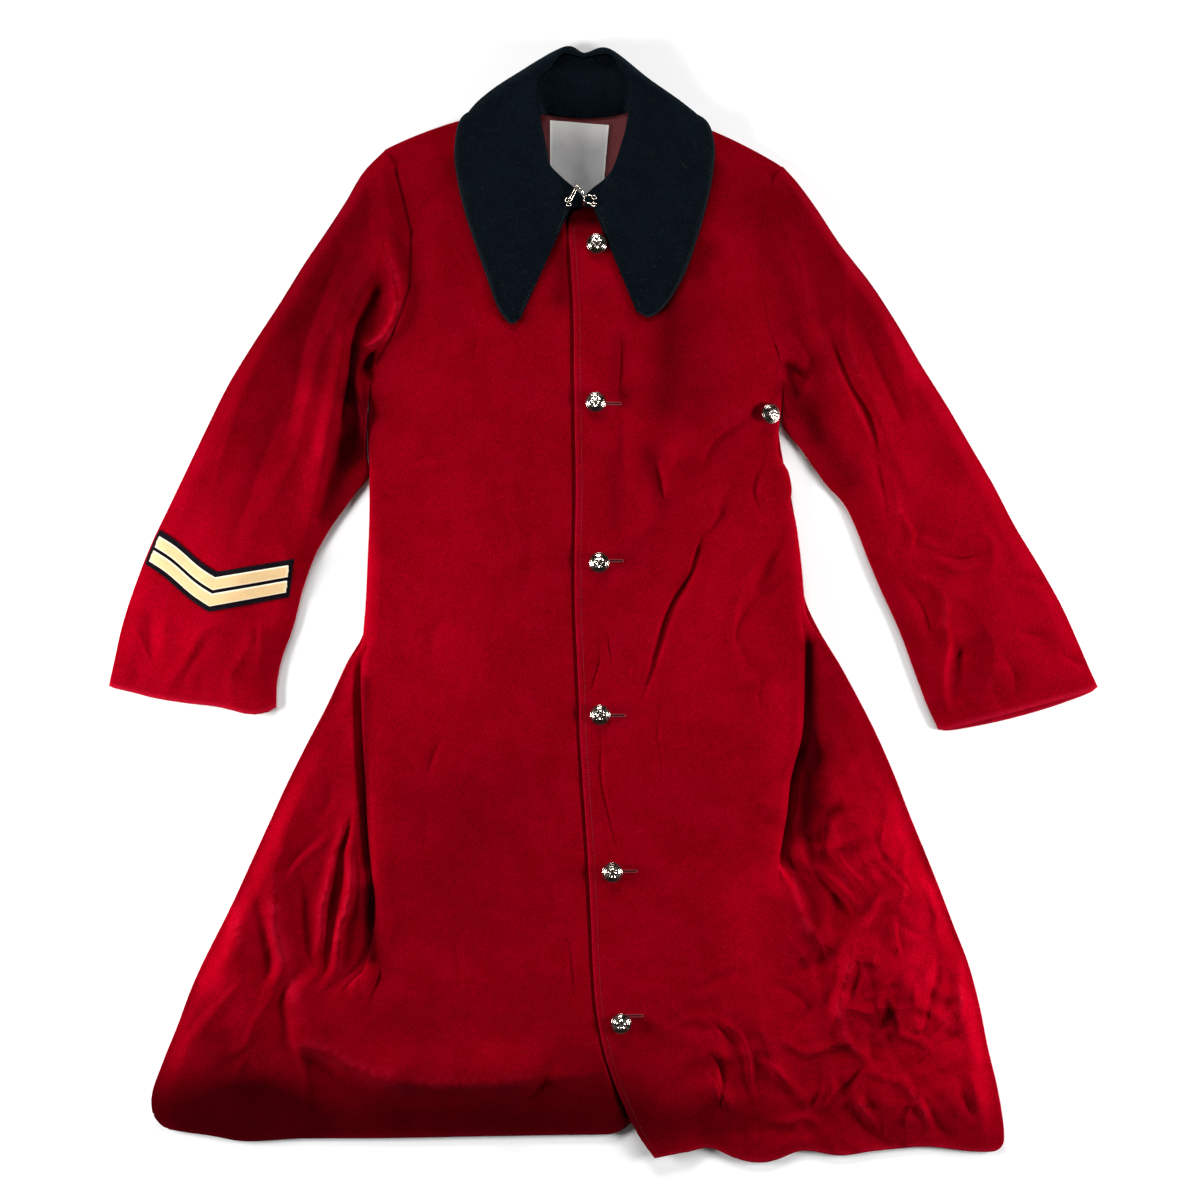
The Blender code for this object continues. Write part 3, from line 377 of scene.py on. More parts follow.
# How much the cloth's colour is darkened all over, and the painted shade: how much more it is darkened at a place,
# in folds and pockets, beside the collar, round a button, under the hook, at the shoulders and towards the hem.
# Below zero it is painted light, darkened less where light falls. Thin lines darken the right armhole's seam.
# From (x, y) to (x, y), half width, amount.
PLAIN_DULL = 0.26
PAINTED_SHADE_AND_LIGHT = (
    (-400, -600, 20, -600, 60, 0.62), (-520, -590, -420, -604, 66, 0.64), (150, -612, 420, -612, 52, 0.12),
    (90, 330, 95, 240, 42, 0.24), (-178, -250, -178, -340, 80, 0.18), (-200, 50, -200, -50, 70, -0.12),
    (150, 50, 130, -50, 65, -0.15), (300, -290, 390, -520, 66, -0.34), (-425, -230, -480, -400, 40, -0.14),
    (-295, 430, -330, 330, 70, 0.42), (-380, 240, -386, 200, 62, 0.24), (-480, 30, -490, -80, 80, -0.20),
    (335, 190, 345, 120, 80, -0.22), (230, 440, 300, 330, 56, 0.24), (-210, 500, -140, 520, 50, 0.14),
    (110, 500, 180, 470, 46, 0.18), (-273, -90, -274, -300, 6, 0.5), (-271, -330, -266, -408, 9, 0.7),
    (236, -50, 240, -180, 9, 0.7), (236, -180, 229, -258, 18, 0.72), (-279, 226, -291, 175, 19, 0.55),
    (-291, 175, -318, 104, 17, 0.55), (-285, 292, -294, 236, 8, 0.6), (212, 246, 282, 142, 15, 0.42),
    (-38, 447, -12, 447, 13, 0.95), (-30, 428, -20, 428, 14, 0.30), (-240, 497, -222, 425, 1.7, 0.5),
    (-222, 425, -224, 362, 1.7, 0.5), (-224, 362, -243, 308, 1.7, 0.5), (-243, 308, -262, 275, 1.7, 0.4),
    (212, 272, 227, 264, 6, 0.5), (213, 262, 222, 240, 5, 0.3), (124, 495, 66, 352, 13, 0.32),
    (66, 340, 40, 330, 12, 0.28), (-170, 500, -118, 350, 13, 0.20), (-108, 326, -94, 324, 10, 0.22),
    (77, 362, 68, 225, 17, 0.20), (19, 300, 14, 240, 9, 0.20), (50, 170, 66, 112, 9, 0.28),
    (10, 165, 12, 90, 8, 0.16), (2, 410, 6, 410, 7, 0.65), (-49, 400, -49, 350, 14, 0.42),
    (-8, 358, -8, 350, 12, 0.12), (117, 405, 108, 380, 14, 0.38), (-173, 440, -173, 320, 22, 0.14),
    (-256, 437, -256, 390, 14, -0.25), (-297, 320, -297, 265, 12, -0.20), (-339, 232, -337, 108, 18, -0.36),
    (-380, 60, -380, -20, 16, -0.26), (-421, -60, -421, -110, 16, -0.28), (-256, 40, -256, -280, 15, -0.26),
    (-340, -500, -205, -482, 38, 0.22), (-464, -468, -452, -500, 26, 0.28), (-45, -515, -5, -522, 20, 0.24),
    (85, -602, 165, -592, 30, 0.30), (243, 275, 243, 190, 12, 0.20), (366, 235, 400, 160, 22, 0.17),
    (283, 235, 284, 185, 12, -0.22), (406, 20, 404, -60, 16, -0.25), (368, 25, 366, -20, 14, -0.20),
    (200, -100, 198, -320, 16, -0.25), (160, -310, 158, -395, 22, -0.20), (242, -300, 244, -395, 17, 0.28),
)
# Where the cloth has been crushed: from (x, y) to (x, y), half width, how much.
CRUSHED = (
    (300, -290, 340, -560, 105, 1.0), (120, -520, 240, -600, 62, 0.8), (-420, -330, -430, -520, 50, 0.35),
    (400, 0, 430, -100, 50, 0.35),
)


def from_piece(x, y, ax, ay, bx, by):
    """The nearest point of a straight piece: its share of the way along, and the offset from it to (x, y)."""
    dx, dy = bx - ax, by - ay
    share = np.clip(((x - ax) * dx + (y - ay) * dy) / (dx * dx + dy * dy), 0, 1)
    return share, x - ax - share * dx, y - ay - share * dy


def rises(table, x, y):
    """Sum of bells round straight pieces: height times the bell of the distance over the half width."""
    total = np.zeros(np.shape(x))
    for *ends, wide, high in table:
        _, off_x, off_y = from_piece(x, y, *ends)
        total += high * bell(np.hypot(off_x, off_y), wide)
    return total


red_melton = woollen(
    "red_melton", (0.281, 0.0, 0.0049, 1), (0.343, 0.0, 0.0080, 1), (0.468, 0.0, 0.0185, 1), (0.62, 0.008, 0.034, 1)
)


def side_row(table):
    """Rows of a front's outer ends, one every few millimetres, for the panel that lies under it."""
    return between(table[:, 2:4], np.linspace(0, len(table) - 1, 181))


def meeting(top, bottom, left, right):
    """Coons patch: the two ruled surfaces between opposite edges, added, less the plane through the four corners."""
    u = np.linspace(0, 1, len(top))[None, :, None]
    v = np.linspace(0, 1, len(left))[:, None, None]
    ruled = top[None] * (1 - v) + bottom[None] * v + left[:, None] * (1 - u) + right[:, None] * u
    corners = (top[0] * (1 - u) + top[-1] * u) * (1 - v) + (bottom[0] * (1 - u) + bottom[-1] * u) * v
    return ruled - corners


def rounded_corner(x, y, corner, side):
    """Plan points near a hem's outer corner, moved so that the square of side radius there becomes a quarter disc."""
    radius = CORNER_ROUND[side]
    a = (side * (x - corner[0]) + radius) / radius
    b = (corner[1] - y + radius) / radius
    near = (a > 0) & (b > 0)
    a, b = np.clip(a, 0, 1.1), np.clip(b, 0, 1.1)
    x_new = corner[0] + side * radius * (a * np.sqrt(1 - b * b / 2) - 1)
    y_new = corner[1] - radius * (b * np.sqrt(1 - a * a / 2) - 1)
    return np.where(near, x_new, x), np.where(near, y_new, y)


def back_hem(table, hem, x):
    """The back's hem under one front at x: the line between the front's two hem ends, its wave, and a bit shorter."""
    in_x, in_y, out_x, out_y = table[-1, :4]
    y = in_y + (out_y - in_y) * (x - in_x) / (out_x - in_x) + waved(hem, x) + BACK_SHORTER
    return np.stack([x, y], axis=1)


def back_panel():
    """Flat grid between the shoulders with the neck, the two side edges and the waved hem."""
    right, left = side_row(RIGHT_FRONT), side_row(LEFT_FRONT)
    s = np.linspace(0, 1, 31)[:, None]
    crown = SHOULDER_CROWN * np.sin(np.pi * s) ** 0.8 * (0, 1)
    slopes = []
    for (inner, outer), way in ((RIGHT_FRONT[0, :4].reshape(2, 2), s[::-1]), (LEFT_FRONT[0, :4].reshape(2, 2), s)):
        slopes.append(inner + (outer - inner) * way + crown)
    neck = between(BACK_NECK, np.linspace(0, len(BACK_NECK) - 1, 21))
    top = np.concatenate([slopes[0][:-1], neck, slopes[1][1:]])
    right_hem = back_hem(RIGHT_FRONT, RIGHT_HEM, np.linspace(-517, 66, 130))
    left_hem = back_hem(LEFT_FRONT, LEFT_HEM, np.linspace(70, 459, 100))
    hem = np.concatenate([right_hem, left_hem])
    hem[0], hem[-1] = right[-1], left[-1]
    many = np.linspace(0, 1, 121)
    top, hem = (points_at(path, run_length(path) / run_length(path)[-1], many) for path in (top, hem))
    plan = meeting(top, hem, right, left)
    x, y = rounded_corner(plan[..., 0], plan[..., 1], hem[0], -1)
    x, y = rounded_corner(x, y, hem[-1], 1)
    return np.stack([x, y, np.full(x.shape, MID_BACK)], axis=2)


back = cloth_shell("back_panel", back_panel(), MELTON, red_melton)
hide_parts("back")
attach(back, "root")


# The fronts are cut from the same melton and lap down the middle, the left over
# the right. They stand a finger off the back, and their skirts fold at the sides.
SIDE_ROLL = 16.0
ARMHOLE_ROWS = 10
# Over how far the cloth comes down on the back: above the hem, in from the flare's
# edge, and round the fold's lip. Then how far past the fold a top with no fold runs.
HEM_SETTLES, FLARE_SETTLES, LIP_SETTLES, RUN_OUT = 72, 26, 40, 46
# The cloth lies flat this far from a button's middle, and is itself again this much further out.
SEAT_RADIUS, SEAT_FADES = 13, 16
# Soft rises and hollows: from (x, y) to (x, y), half width, height.
BODY_RELIEF = (
    (-150, 480, -140, 300, 70, 5), (110, 480, 100, 280, 70, 5), (-120, 180, -120, -120, 95, 8),
    (90, 180, 100, -120, 90, 8), (-130, -220, -110, -420, 110, 15), (90, -220, 110, -440, 95, 13),
    (-20, 400, 10, -540, 34, 4), (-370, -240, -430, -470, 60, 11), (300, -260, 380, -520, 60, 10),
    (-272, 60, -270, -330, 26, 8), (222, 40, 205, -230, 24, 8), (-340, -500, -237, -535, 26, 7),
    (-237, -535, -110, -540, 28, 7), (-110, -540, -20, -530, 30, 6), (166, 229, 93, 169, 18, 5),
    (93, 169, 40, 80, 20, 4), (104, 57, 52, -60, 12, -3), (150, 60, 150, -40, 32, 4), (22, 302, 14, 165, 14, -2.5),
    (300, -270, 345, -340, 26, 6), (262, -250, 236, -300, 12, -8), (345, -420, 372, -480, 26, 4),
    (290, -470, 330, -600, 30, 4), (405, -330, 440, -560, 22, 5), (400, -540, 430, -600, 22, 3),
    (160, -470, 240, -560, 34, 4), (110, -500, 130, -600, 20, 3),
)
SLEEVE_RELIEF = (
    (-290, 430, -460, -60, 52, 10), (250, 440, 470, -80, 52, 10), (-262, 420, -246, 350, 13, 4),
    (-268, 372, -300, 322, 12, 4), (-296, 300, -318, 170, 13, 6), (-298, 416, -350, 313, 22, -4),
    (-350, 313, -400, 120, 24, -4), (200, 440, 254, 305, 15, 3.5), (254, 305, 325, 83, 16, 4),
    (273, 394, 274, 305, 16, 3), (274, 305, 345, 140, 16, 3.5), (214, 263, 228, 256, 9, -7),
    (406, -60, 406, -100, 16, -3), (362, 74, 413, 54, 14, -3),
)
# Finer creases: half width, height, lean to one side, then the
# points the crease runs through. A trough's height is below zero.
CREASES = (
    # chest and waist, from the side button inwards
    (7, 3.6, 0.3, 172, 230, 151, 215, 137, 205, 120, 188, 104, 166),
    (5, -3.2, 0.0, 166, 209, 147, 200, 132, 190, 120, 177, 112, 160),
    (9, 2.6, 0.0, 87, 171, 80, 144, 73, 121, 50, 87, 30, 67), (4, -4.0, 0.1, 60, 160, 65, 141, 67, 126, 70, 113),
    (5, 3.6, 0.2, 153, 165, 142, 144, 134, 131, 127, 115, 122, 100, 110, 84, 102, 67, 97, 50, 94, 36, 83, 23, 73, 9),
    (5, 3.0, 0.3, 78, 14, 65, -11, 58, -31, 53, -51, 48, -70, 42, -90),
    (5, -4.4, 0.0, 110, 78, 104, 50, 101, 35, 92, 18, 82, 4, 73, -14, 67, -34, 62, -55, 55, -76, 46, -102, 39, -122),
    (6, -3.0, 0.0, 136, 108, 130, 96, 122, 84, 112, 76),
    (4, 2.8, 0.0, 202, 175, 190, 154, 183, 137, 182, 121, 190, 103),
    (6, -2.4, 0.0, 190, 172, 176, 146, 173, 121, 180, 100),
    (5, 3.4, 0.3, 219, 105, 201, 85, 190, 70, 181, 57, 171, 43, 161, 23, 152, 3, 148, -17, 145, -38),
    (7, -2.8, 0.0, 208, 70, 190, 46, 178, 26, 170, 8),
    (7, -3.0, 0.0, 220, 28, 198, 18, 178, 8, 164, -4, 154, -21, 150, -36, 156, -51, 164, -68, 173, -82),
    (6, 2.2, 0.0, 137, -98, 151, -95, 178, -85, 191, -61), (5, -2.0, 0.0, 184, -78, 178, -108, 181, -124),
    (7, 1.8, 0.0, 118, 20, 112, -20, 104, -60), (8, -1.6, 0.0, 96, -60, 90, -110, 96, -160),
    (5, -2.2, 0.0, 68, -108, 60, -149, 65, -182, 62, -230), (4, -2.2, 0.0, 19, 310, 19, 270, 15, 235),
    (9, -2.2, 0.0, 18, 215, 19, 160, 24, 100), (11, -2.0, 0.0, 88, 322, 92, 262, 84, 226),
    (8, 1.6, 0.0, 60, 300, 62, 240, 52, 180), (3, -2.4, 0.0, 3, -40, 8, -70), (3, -2.6, 0.0, -7, -68, -16, -104),
    (5, -3.0, 0.2, -3, -140, -4, -199, 5, -245, 17, -296), (4, -2.0, 0.0, -6, -44, -6, -78),
    (3, 2.0, 0.0, -194, 402, -175, 391, -166, 396, -158, 380), (3, -2.6, 0.0, -226, 160, -202, 165, -178, 162),
    (4, 2.0, 0.0, -222, 152, -202, 158, -176, 155), (5, -2.0, 0.0, -146, 306, -150, 274),
    (9, -1.7, 0.0, -90, 120, -84, 60, -92, 0), (8, -1.8, 0.0, -178, -6, -198, -46, -192, -90),
    (4, -2.0, 0.0, -187, -158, -196, -178, -201, -198), (11, -1.8, 0.0, -137, -5, -105, -100, -75, -158),
    (9, -1.4, 0.0, -205, -214, -204, -290), (6, -1.8, 0.0, -172, -384, -165, -432),
    (6, -3.0, 0.0, -42, -380, -38, -420, -33, -462), (8, 2.4, 0.0, -240, -360, -250, -392, -258, -424),
    (6, -3.0, 0.0, -54, -524, -76, -556, -101, -584), (8, -2.0, 0.0, -190, -566, -170, -590),
    # right flare, beside the fold, and the lower edge of its belly
    (5, 7, 0.2, -285, -234, -291, -291, -290, -315, -294, -345, -302, -369, -306, -393, -302, -423, -285, -450),
    (4, -5, 0.0, -288, -243, -294, -267, -302, -288, -305, -321, -312, -351, -315, -381, -315, -408, -309, -438,
     -299, -449),
    (6, 6, 0.0, -296, -249, -300, -261, -309, -291, -315, -321, -324, -351, -326, -381, -330, -408, -317, -434),
    (8, -4, 0.0, -354, -309, -345, -339, -342, -375, -336, -405, -321, -438),
    (10, 8, 0.2, -381, -303, -378, -345, -378, -375, -369, -405, -363, -435, -351, -459, -327, -486),
    (9, -6, 0.0, -402, -336, -390, -363, -387, -387, -381, -417, -375, -459, -363, -496, -354, -523),
    (16, 5, 0.0, -423, -327, -422, -351, -420, -393, -432, -429), (6, -4, 0.0, -455, -462, -469, -480, -481, -499),
    (6, 3, 0.0, -420, -429, -432, -447, -451, -474, -463, -493),
    (4, 1.8, 0.0, -375, -435, -390, -462, -402, -483, -411, -505, -435, -517, -460, -511),
    (4, 1.2, 0.0, -408, -517, -417, -529, -423, -541), (4, 1.8, 0.0, -372, -261, -367, -279, -375, -297, -378, -312),
    (4, -2.6, 0.0, -372, -315, -360, -300, -345, -285, -327, -270),
    (4, 2.0, 0.0, -366, -321, -354, -303, -339, -288, -324, -276, -306, -258),
    (4, 1.6, 0.0, -333, -192, -327, -204, -318, -210), (9, -2.4, 0.0, -315, -213, -318, -231, -330, -249),
    (9, 6.5, -0.35, -354, -499, -348, -506, -335, -509, -315, -517, -294, -528, -267, -540, -237, -546, -189, -552,
     -132, -550, -72, -545, -18, -542),
    (5, -3.5, 0.0, -342, -524, -327, -527, -315, -533, -303, -542),
    (6, 2.2, 0.0, -353, -508, -347, -529, -342, -547, -341, -577),
    (12, -2.0, 0.0, -408, -547, -393, -580, -366, -595),
    # left skirt, crushed into facets
    (7.35, -4.8, 0.1, 227, -266, 238, -284, 256, -302, 266, -325, 277, -348, 287, -371),
    (18.9, -3.4, 0.0, 254, -323, 266, -359, 264, -389, 259, -415),
    (7.38, 5.2, 0.3, 220, -251, 220, -302, 225, -353, 238, -379, 242, -394, 218, -415),
    (4.92, 5.8, -0.2, 260, -282, 264, -293, 270, -310, 281, -333, 291, -353),
    (3.28, 2.9, 0.0, 261, -285, 274, -278, 289, -271, 302, -264),
    (5.25, -4.1, 0.0, 306, -261, 315, -289, 325, -307, 331, -320, 320, -330, 309, -346, 300, -357),
    (3.28, 4.6, 0.2, 347, -279, 340, -297, 338, -312, 345, -326, 337, -344, 329, -353),
    (4.1, 3.4, 0.0, 356, -294, 366, -325, 379, -353, 386, -371),
    (6.3, -2.7, 0.0, 366, -333, 374, -361, 372, -376, 363, -385), (3.15, -1.6, 0.0, 333, -365, 350, -376, 364, -383),
    (2.46, 3.4, 0.0, 329, -360, 333, -384, 337, -407), (3.28, 2.8, 0.0, 315, -389, 310, -402, 304, -418),
    (4.6, 5.2, -0.05, 287, -383, 284, -405, 277, -430, 270, -456, 268, -469, 272, -487, 279, -505, 295, -519, 301,
     -527),
    (6.0, -2.0, 0.0, 272, -394, 268, -425, 261, -453, 259, -469), (3.15, -2, 0.0, 293, -425, 287, -441, 280, -455),
    (6.4, -2.5, 0.0, 304, -416, 307, -436, 312, -461, 318, -482, 327, -505, 336, -528, 342, -541),
    (8.4, -2.7, 0.0, 300, -474, 307, -497, 305, -520, 313, -536),
    (3.15, -1.8, 0.0, 339, -418, 334, -433, 323, -444, 315, -454),
    (5.25, -4.1, 0.0, 382, -401, 380, -425, 375, -451, 370, -477, 366, -501),
    (8.4, -2, 0.0, 388, -394, 395, -430, 391, -461),
    (4.1, 5.8, 0.2, 409, -400, 409, -430, 406, -464, 388, -479, 369, -499),
    (5.25, -3.4, 0.0, 414, -483, 397, -497, 379, -507, 366, -521, 356, -536, 349, -547),
    (2.46, 3.4, 0.0, 341, -496, 355, -501, 372, -509), (9.45, -1.8, 0.0, 369, -531, 392, -541, 413, -531),
    (4.1, 5.2, 0.0, 342, -546, 347, -557, 360, -574, 370, -595, 374, -620),
    (5.25, -2.7, 0.0, 354, -557, 369, -582, 382, -605, 395, -625), (4.2, -2.7, 0.0, 408, -550, 415, -574, 426, -596),
    (4.2, -2, 0.0, 436, -534, 427, -546, 419, -554), (3.28, 3.4, 0.0, 416, -538, 423, -555, 428, -572, 428, -584),
    (4.92, 3.4, 0.0, 449, -528, 456, -559, 456, -592, 452, -623),
    (7.35, -2, 0.0, 433, -510, 435, -531, 444, -579, 444, -615), (2.46, 2.8, 0.0, 302, -540, 320, -546, 342, -552),
    (3.28, 5.2, -0.2, 300, -539, 293, -559, 293, -577, 305, -595, 320, -615, 331, -628),
    (4.2, -2.7, 0.0, 286, -579, 298, -602, 315, -622), (5.25, -3.4, 0.0, 300, -527, 289, -546, 274, -559, 262, -568),
    (3.28, 5.2, 0.0, 261, -543, 257, -559, 248, -575, 240, -588), (4.2, -2.4, 0.0, 254, -547, 246, -568, 237, -584),
    (5.25, -2.7, 0.0, 206, -501, 210, -492, 219, -480, 230, -471, 242, -466),
    (4.2, -2.7, 0.0, 193, -438, 212, -447, 227, -457, 237, -469),
    (4.2, -2.4, 0.0, 218, -428, 233, -420, 250, -412, 272, -402),
    (3.28, 3.4, 0.0, 206, -504, 223, -515, 233, -518, 254, -512, 278, -504),
    (4.1, 4.1, 0.0, 168, -522, 192, -533, 207, -548, 220, -562, 232, -581),
    (10.5, -1.6, 0.0, 179, -541, 189, -556, 195, -577),
    (3.28, 3.4, 0.0, 110, -473, 135, -482, 153, -495, 164, -520, 167, -546, 177, -583),
    (5.25, -3.4, 0.0, 110, -506, 125, -520, 135, -546, 133, -572, 136, -595),
    (3.28, 2.8, 0.0, 121, -546, 126, -559, 131, -572), (4.1, 4.1, 0.0, 187, -592, 212, -597, 236, -595, 250, -611),
    (4.2, -2.3, 0.0, 216, -624, 230, -615, 248, -616), (3.28, 3, 0.0, 174, -606, 170, -618, 162, -628),
    (4.2, -2, 0.0, 156, -605, 159, -618, 153, -627),
    (4.2, -1.5, 0.0, 100, -446, 120, -438, 130, -431, 151, -426, 170, -422),
    (4.2, -1.5, 0.0, 118, -477, 133, -489, 148, -507), (4.1, 2.5, 0.0, 84, -482, 100, -477, 118, -482, 133, -495),
    # right sleeve: the dark hollow under the arm and the lips round it
    (8, 6.5, 0.35, -262, 384, -279, 350, -290, 318, -300, 273, -306, 230, -317, 187, -325, 144, -338, 92),
    (11, -15, 0.0, -264, 352, -282, 312, -290, 268, -294, 225, -302, 180, -312, 138, -326, 96),
    (5, 10, 0.2, -252, 410, -240, 372, -236, 338, -246, 311, -262, 296, -278, 290, -285, 273, -286, 252, -280, 225,
     -274, 203, -270, 180),
    (5, -9, 0.0, -264, 290, -272, 270, -267, 250),
    (8, 2.8, 0.0, -256, 416, -280, 378, -300, 349, -311, 317, -327, 284, -335, 252, -343, 220, -354, 176, -375, 128,
     -397, 95),
    (8, -2.4, 0.0, -292, 420, -322, 352, -342, 300, -352, 250, -366, 190),
    (9, -2.2, 0.0, -366, 230, -404, 130, -428, 60), (8, 2.1, 0.0, -388, 300, -426, 210, -452, 120),
    (6, 2.4, 0.0, -256, 500, -247, 457, -236, 425), (6, -1.8, 0.0, -268, 480, -270, 440, -262, 405),
    (5, -1.8, 0.0, -318, 452, -312, 430, -300, 402), (6, 2.0, 0.0, -372, 60, -352, 30, -358, 0),
    # left sleeve
    (7, 4.2, 0.2, 195, 447, 212, 413, 229, 362, 246, 311, 263, 271, 280, 237, 297, 203, 319, 158, 336, 112, 325, 56),
    (6, -7, 0.0, 212, 268, 222, 260, 234, 250), (5, 3.6, 0.0, 217, 305, 231, 277, 231, 258, 240, 236),
    (7, 3.9, 0.0, 274, 388, 274, 339, 274, 305, 291, 260, 314, 214, 325, 180, 348, 135),
    (7, -3.9, 0.0, 257, 316, 268, 282, 280, 248, 302, 214, 314, 169, 322, 124, 328, 82),
    (7, -2.5, 0.0, 300, 300, 322, 250, 344, 200), (7, 2.5, 0.0, 319, 328, 342, 260, 356, 200),
    (9, -2.2, 0.0, 350, 330, 380, 270, 398, 210), (5, 3.4, 0.0, 336, 108, 352, 74, 340, 46),
    (4, -4.2, 0.0, 380, 58, 406, 50, 434, 54), (4, 3.4, 0.0, 378, 46, 406, 38, 432, 44),
    (5, 3.4, 0.0, 358, 74, 386, 62, 400, 76), (5, 3.1, 0.0, 354, 30, 382, 16, 392, -12, 382, -40),
    (5, -3.4, 0.0, 344, 20, 366, -6, 378, -44), (5, -5.6, 0.0, 410, -56, 404, -80, 400, -108),
    (5, 3.6, 0.0, 388, -18, 394, -46, 388, -84, 392, -120), (6, -3.4, 0.0, 444, 22, 478, 28, 508, 22),
    (5, 2.5, 0.0, 440, 12, 478, 16, 506, 10), (5, -3.1, 0.0, 470, -34, 490, -38, 508, -42),
    (5, -4.2, 0.0, 527, -62, 545, -70, 563, -75), (7, 2.8, 0.0, 430, 90, 446, 60, 440, 30),
    (7, 2.8, 0.0, 430, -20, 446, -50, 438, -96), (6, -2.8, 0.0, 456, -60, 470, -84, 472, -112),
    # right cuff, below the badge
    (7, 2.6, 0.0, -439, -23, -462, -37, -472, -57, -483, -76, -497, -88, -505, -106),
    (7, -2.4, 0.0, -455, -44, -465, -60, -474, -71, -481, -83, -484, -100),
    (9, 2.6, 0.0, -405, -30, -407, -49, -420, -69, -428, -83, -427, -104, -420, -125),
    (4, -1.6, 0.0, -400, -29, -400, -40, -401, -51), (8, 2.2, 0.0, -393, -21, -394, -37, -396, -57, -397, -79),
    (9, -2.0, 0.0, -458, -79, -463, -93, -465, -107), (11, 2.4, 0.0, -502, -12, -505, -37, -506, -67),
    (9, -1.8, 0.0, -522, -15, -521, -43, -518, -71), (3, 1.2, 0.0, -541, -28, -533, -42, -524, -64),
    (12, -2.4, 0.0, -541, -63, -537, -81, -534, -93),
)
BUTTON_SEATS = ((-9, 411), (-10, 229), (-6, 45), (-5, -129), (9, -309), (19, -482), (190, 216))
# Where the left front's side edge is crumpled: height, how far it stands out.
SIDE_WAVE = np.array([
    (70, 0), (96, 0), (113, -2.6), (126, 1.6), (134, 3.2), (150, 3.4), (160, -0.5), (170, -4.4), (186, -2.0),
    (204, 0), (230, 0),
], float)


def creased(table, x, y):
    """Sum of creases. Each is a bell over the distance from its smooth line, steeper on the side it leans to,
    narrow at its crest, and fades along its length towards both ends."""
    total = np.zeros(np.shape(x))
    for wide, high, lean, *line in table:
        knots = np.array(line, float).reshape(-1, 2)
        path = between(knots, np.linspace(0, len(knots) - 1, 5 * (len(knots) - 1) + 1))
        reach = 3.2 * wide
        (x_low, y_low), (x_high, y_high) = path.min(axis=0) - reach, path.max(axis=0) + reach
        near = (x > x_low) & (x < x_high) & (y > y_low) & (y < y_high)
        if not near.any():
            continue
        px, py = x[near], y[near]
        best, off, part = np.full(px.shape, 1e9), np.zeros(px.shape), np.zeros(px.shape)
        for k, ((ax, ay), (bx, by)) in enumerate(zip(path[:-1], path[1:])):
            f, ex, ey = from_piece(px, py, ax, ay, bx, by)
            far = np.hypot(ex, ey)
            closer = far < best
            best = np.where(closer, far, best)
            off = np.where(closer, np.sign(ex * (by - ay) - ey * (bx - ax)), off)
            part = np.where(closer, (k + f) / (len(path) - 1), part)
        e = best / (wide * (1 + lean * off))
        profile = np.exp(-((e * e + 0.03) ** 0.68 - 0.03**0.68))
        total[near] += high * np.sin(np.pi * np.clip(part, 0.02, 0.98)) ** 0.45 * profile
    return total


def ripple(x, y, cell, turn, seed):
    """Gentle unevenness from -1 to 1: seeded random heights at the corners of a turned lattice, eased between them."""
    heights = np.random.default_rng(seed).uniform(-1, 1, (64, 64))
    c, s = math.cos(turn), math.sin(turn)
    far = 50 * 64
    u, v = (x * c - y * s) / cell + far, (x * s + y * c) / cell + far
    i, j = np.floor(u).astype(int), np.floor(v).astype(int)
    a, b = ease(u - i), ease(v - j)
    i, j, i1, j1 = i % 64, j % 64, (i + 1) % 64, (j + 1) % 64
    near_row = heights[i, j] * (1 - a) + heights[i1, j] * a
    return near_row * (1 - b) + (heights[i, j1] * (1 - a) + heights[i1, j1] * a) * b


def fine_folds(x, y):
    """Creases and unevenness on top of the main form, held back round each button's seat."""
    uneven = 0.75 * ripple(x, y, 58, 0.4, 3) + 0.4 * ripple(x, y, 27, 1.1, 8)
    facets = 0.6 * ripple(x, y, 19, 0.8, 21)
    for high, cell, turn, seed in ((5.0, 46, 0.5, 11), (2.2, 25, 1.2, 12)):
        facets = facets + high * (0.3 - np.abs(ripple(x, y, cell, turn, seed)))
    total = creased(CREASES, x, y) + uneven + np.clip(rises(CRUSHED, x, y), 0, 1) * facets
    for seat_x, seat_y in BUTTON_SEATS:
        total = total * ease((np.hypot(x - seat_x, y - seat_y) - SEAT_RADIUS) / SEAT_FADES)
    return total


def crest_wear_and_highlight(x, y):
    """How pale the crests of the creases are made, partly wear and partly painted highlight where light catches them:
    it rises with their height from 2 mm, in broken streaks."""
    streaks = ease((ripple(x, y, 3.6, 0.9, 44) + ripple(x, y, 11, 0.2, 45) + 0.7) / 1.2)
    return 0.34 * ease((fine_folds(x, y) - 1.8) / 4) * streaks


def height(x, y, fine=True):
    """Height of the middle of the upper cloth above the table: its floor, the rises and the creases,
    with a soft limit under the floor so that no hollow reaches the panel below."""
    x, y = np.asarray(x, float), np.asarray(y, float)
    raised = rises(BODY_RELIEF, x, y) + rises(SLEEVE_RELIEF, x, y)
    if fine:
        raised = raised + fine_folds(x, y)
    # It gives less near the front edge, where two fronts lie on each other.
    give = 2.2 + 1.3 * ease((np.abs(x - 20) - 90) / 30)
    return MID_REST + LAP + 0.6 + np.where(raised > 0, raised, give * np.tanh(raised / give))


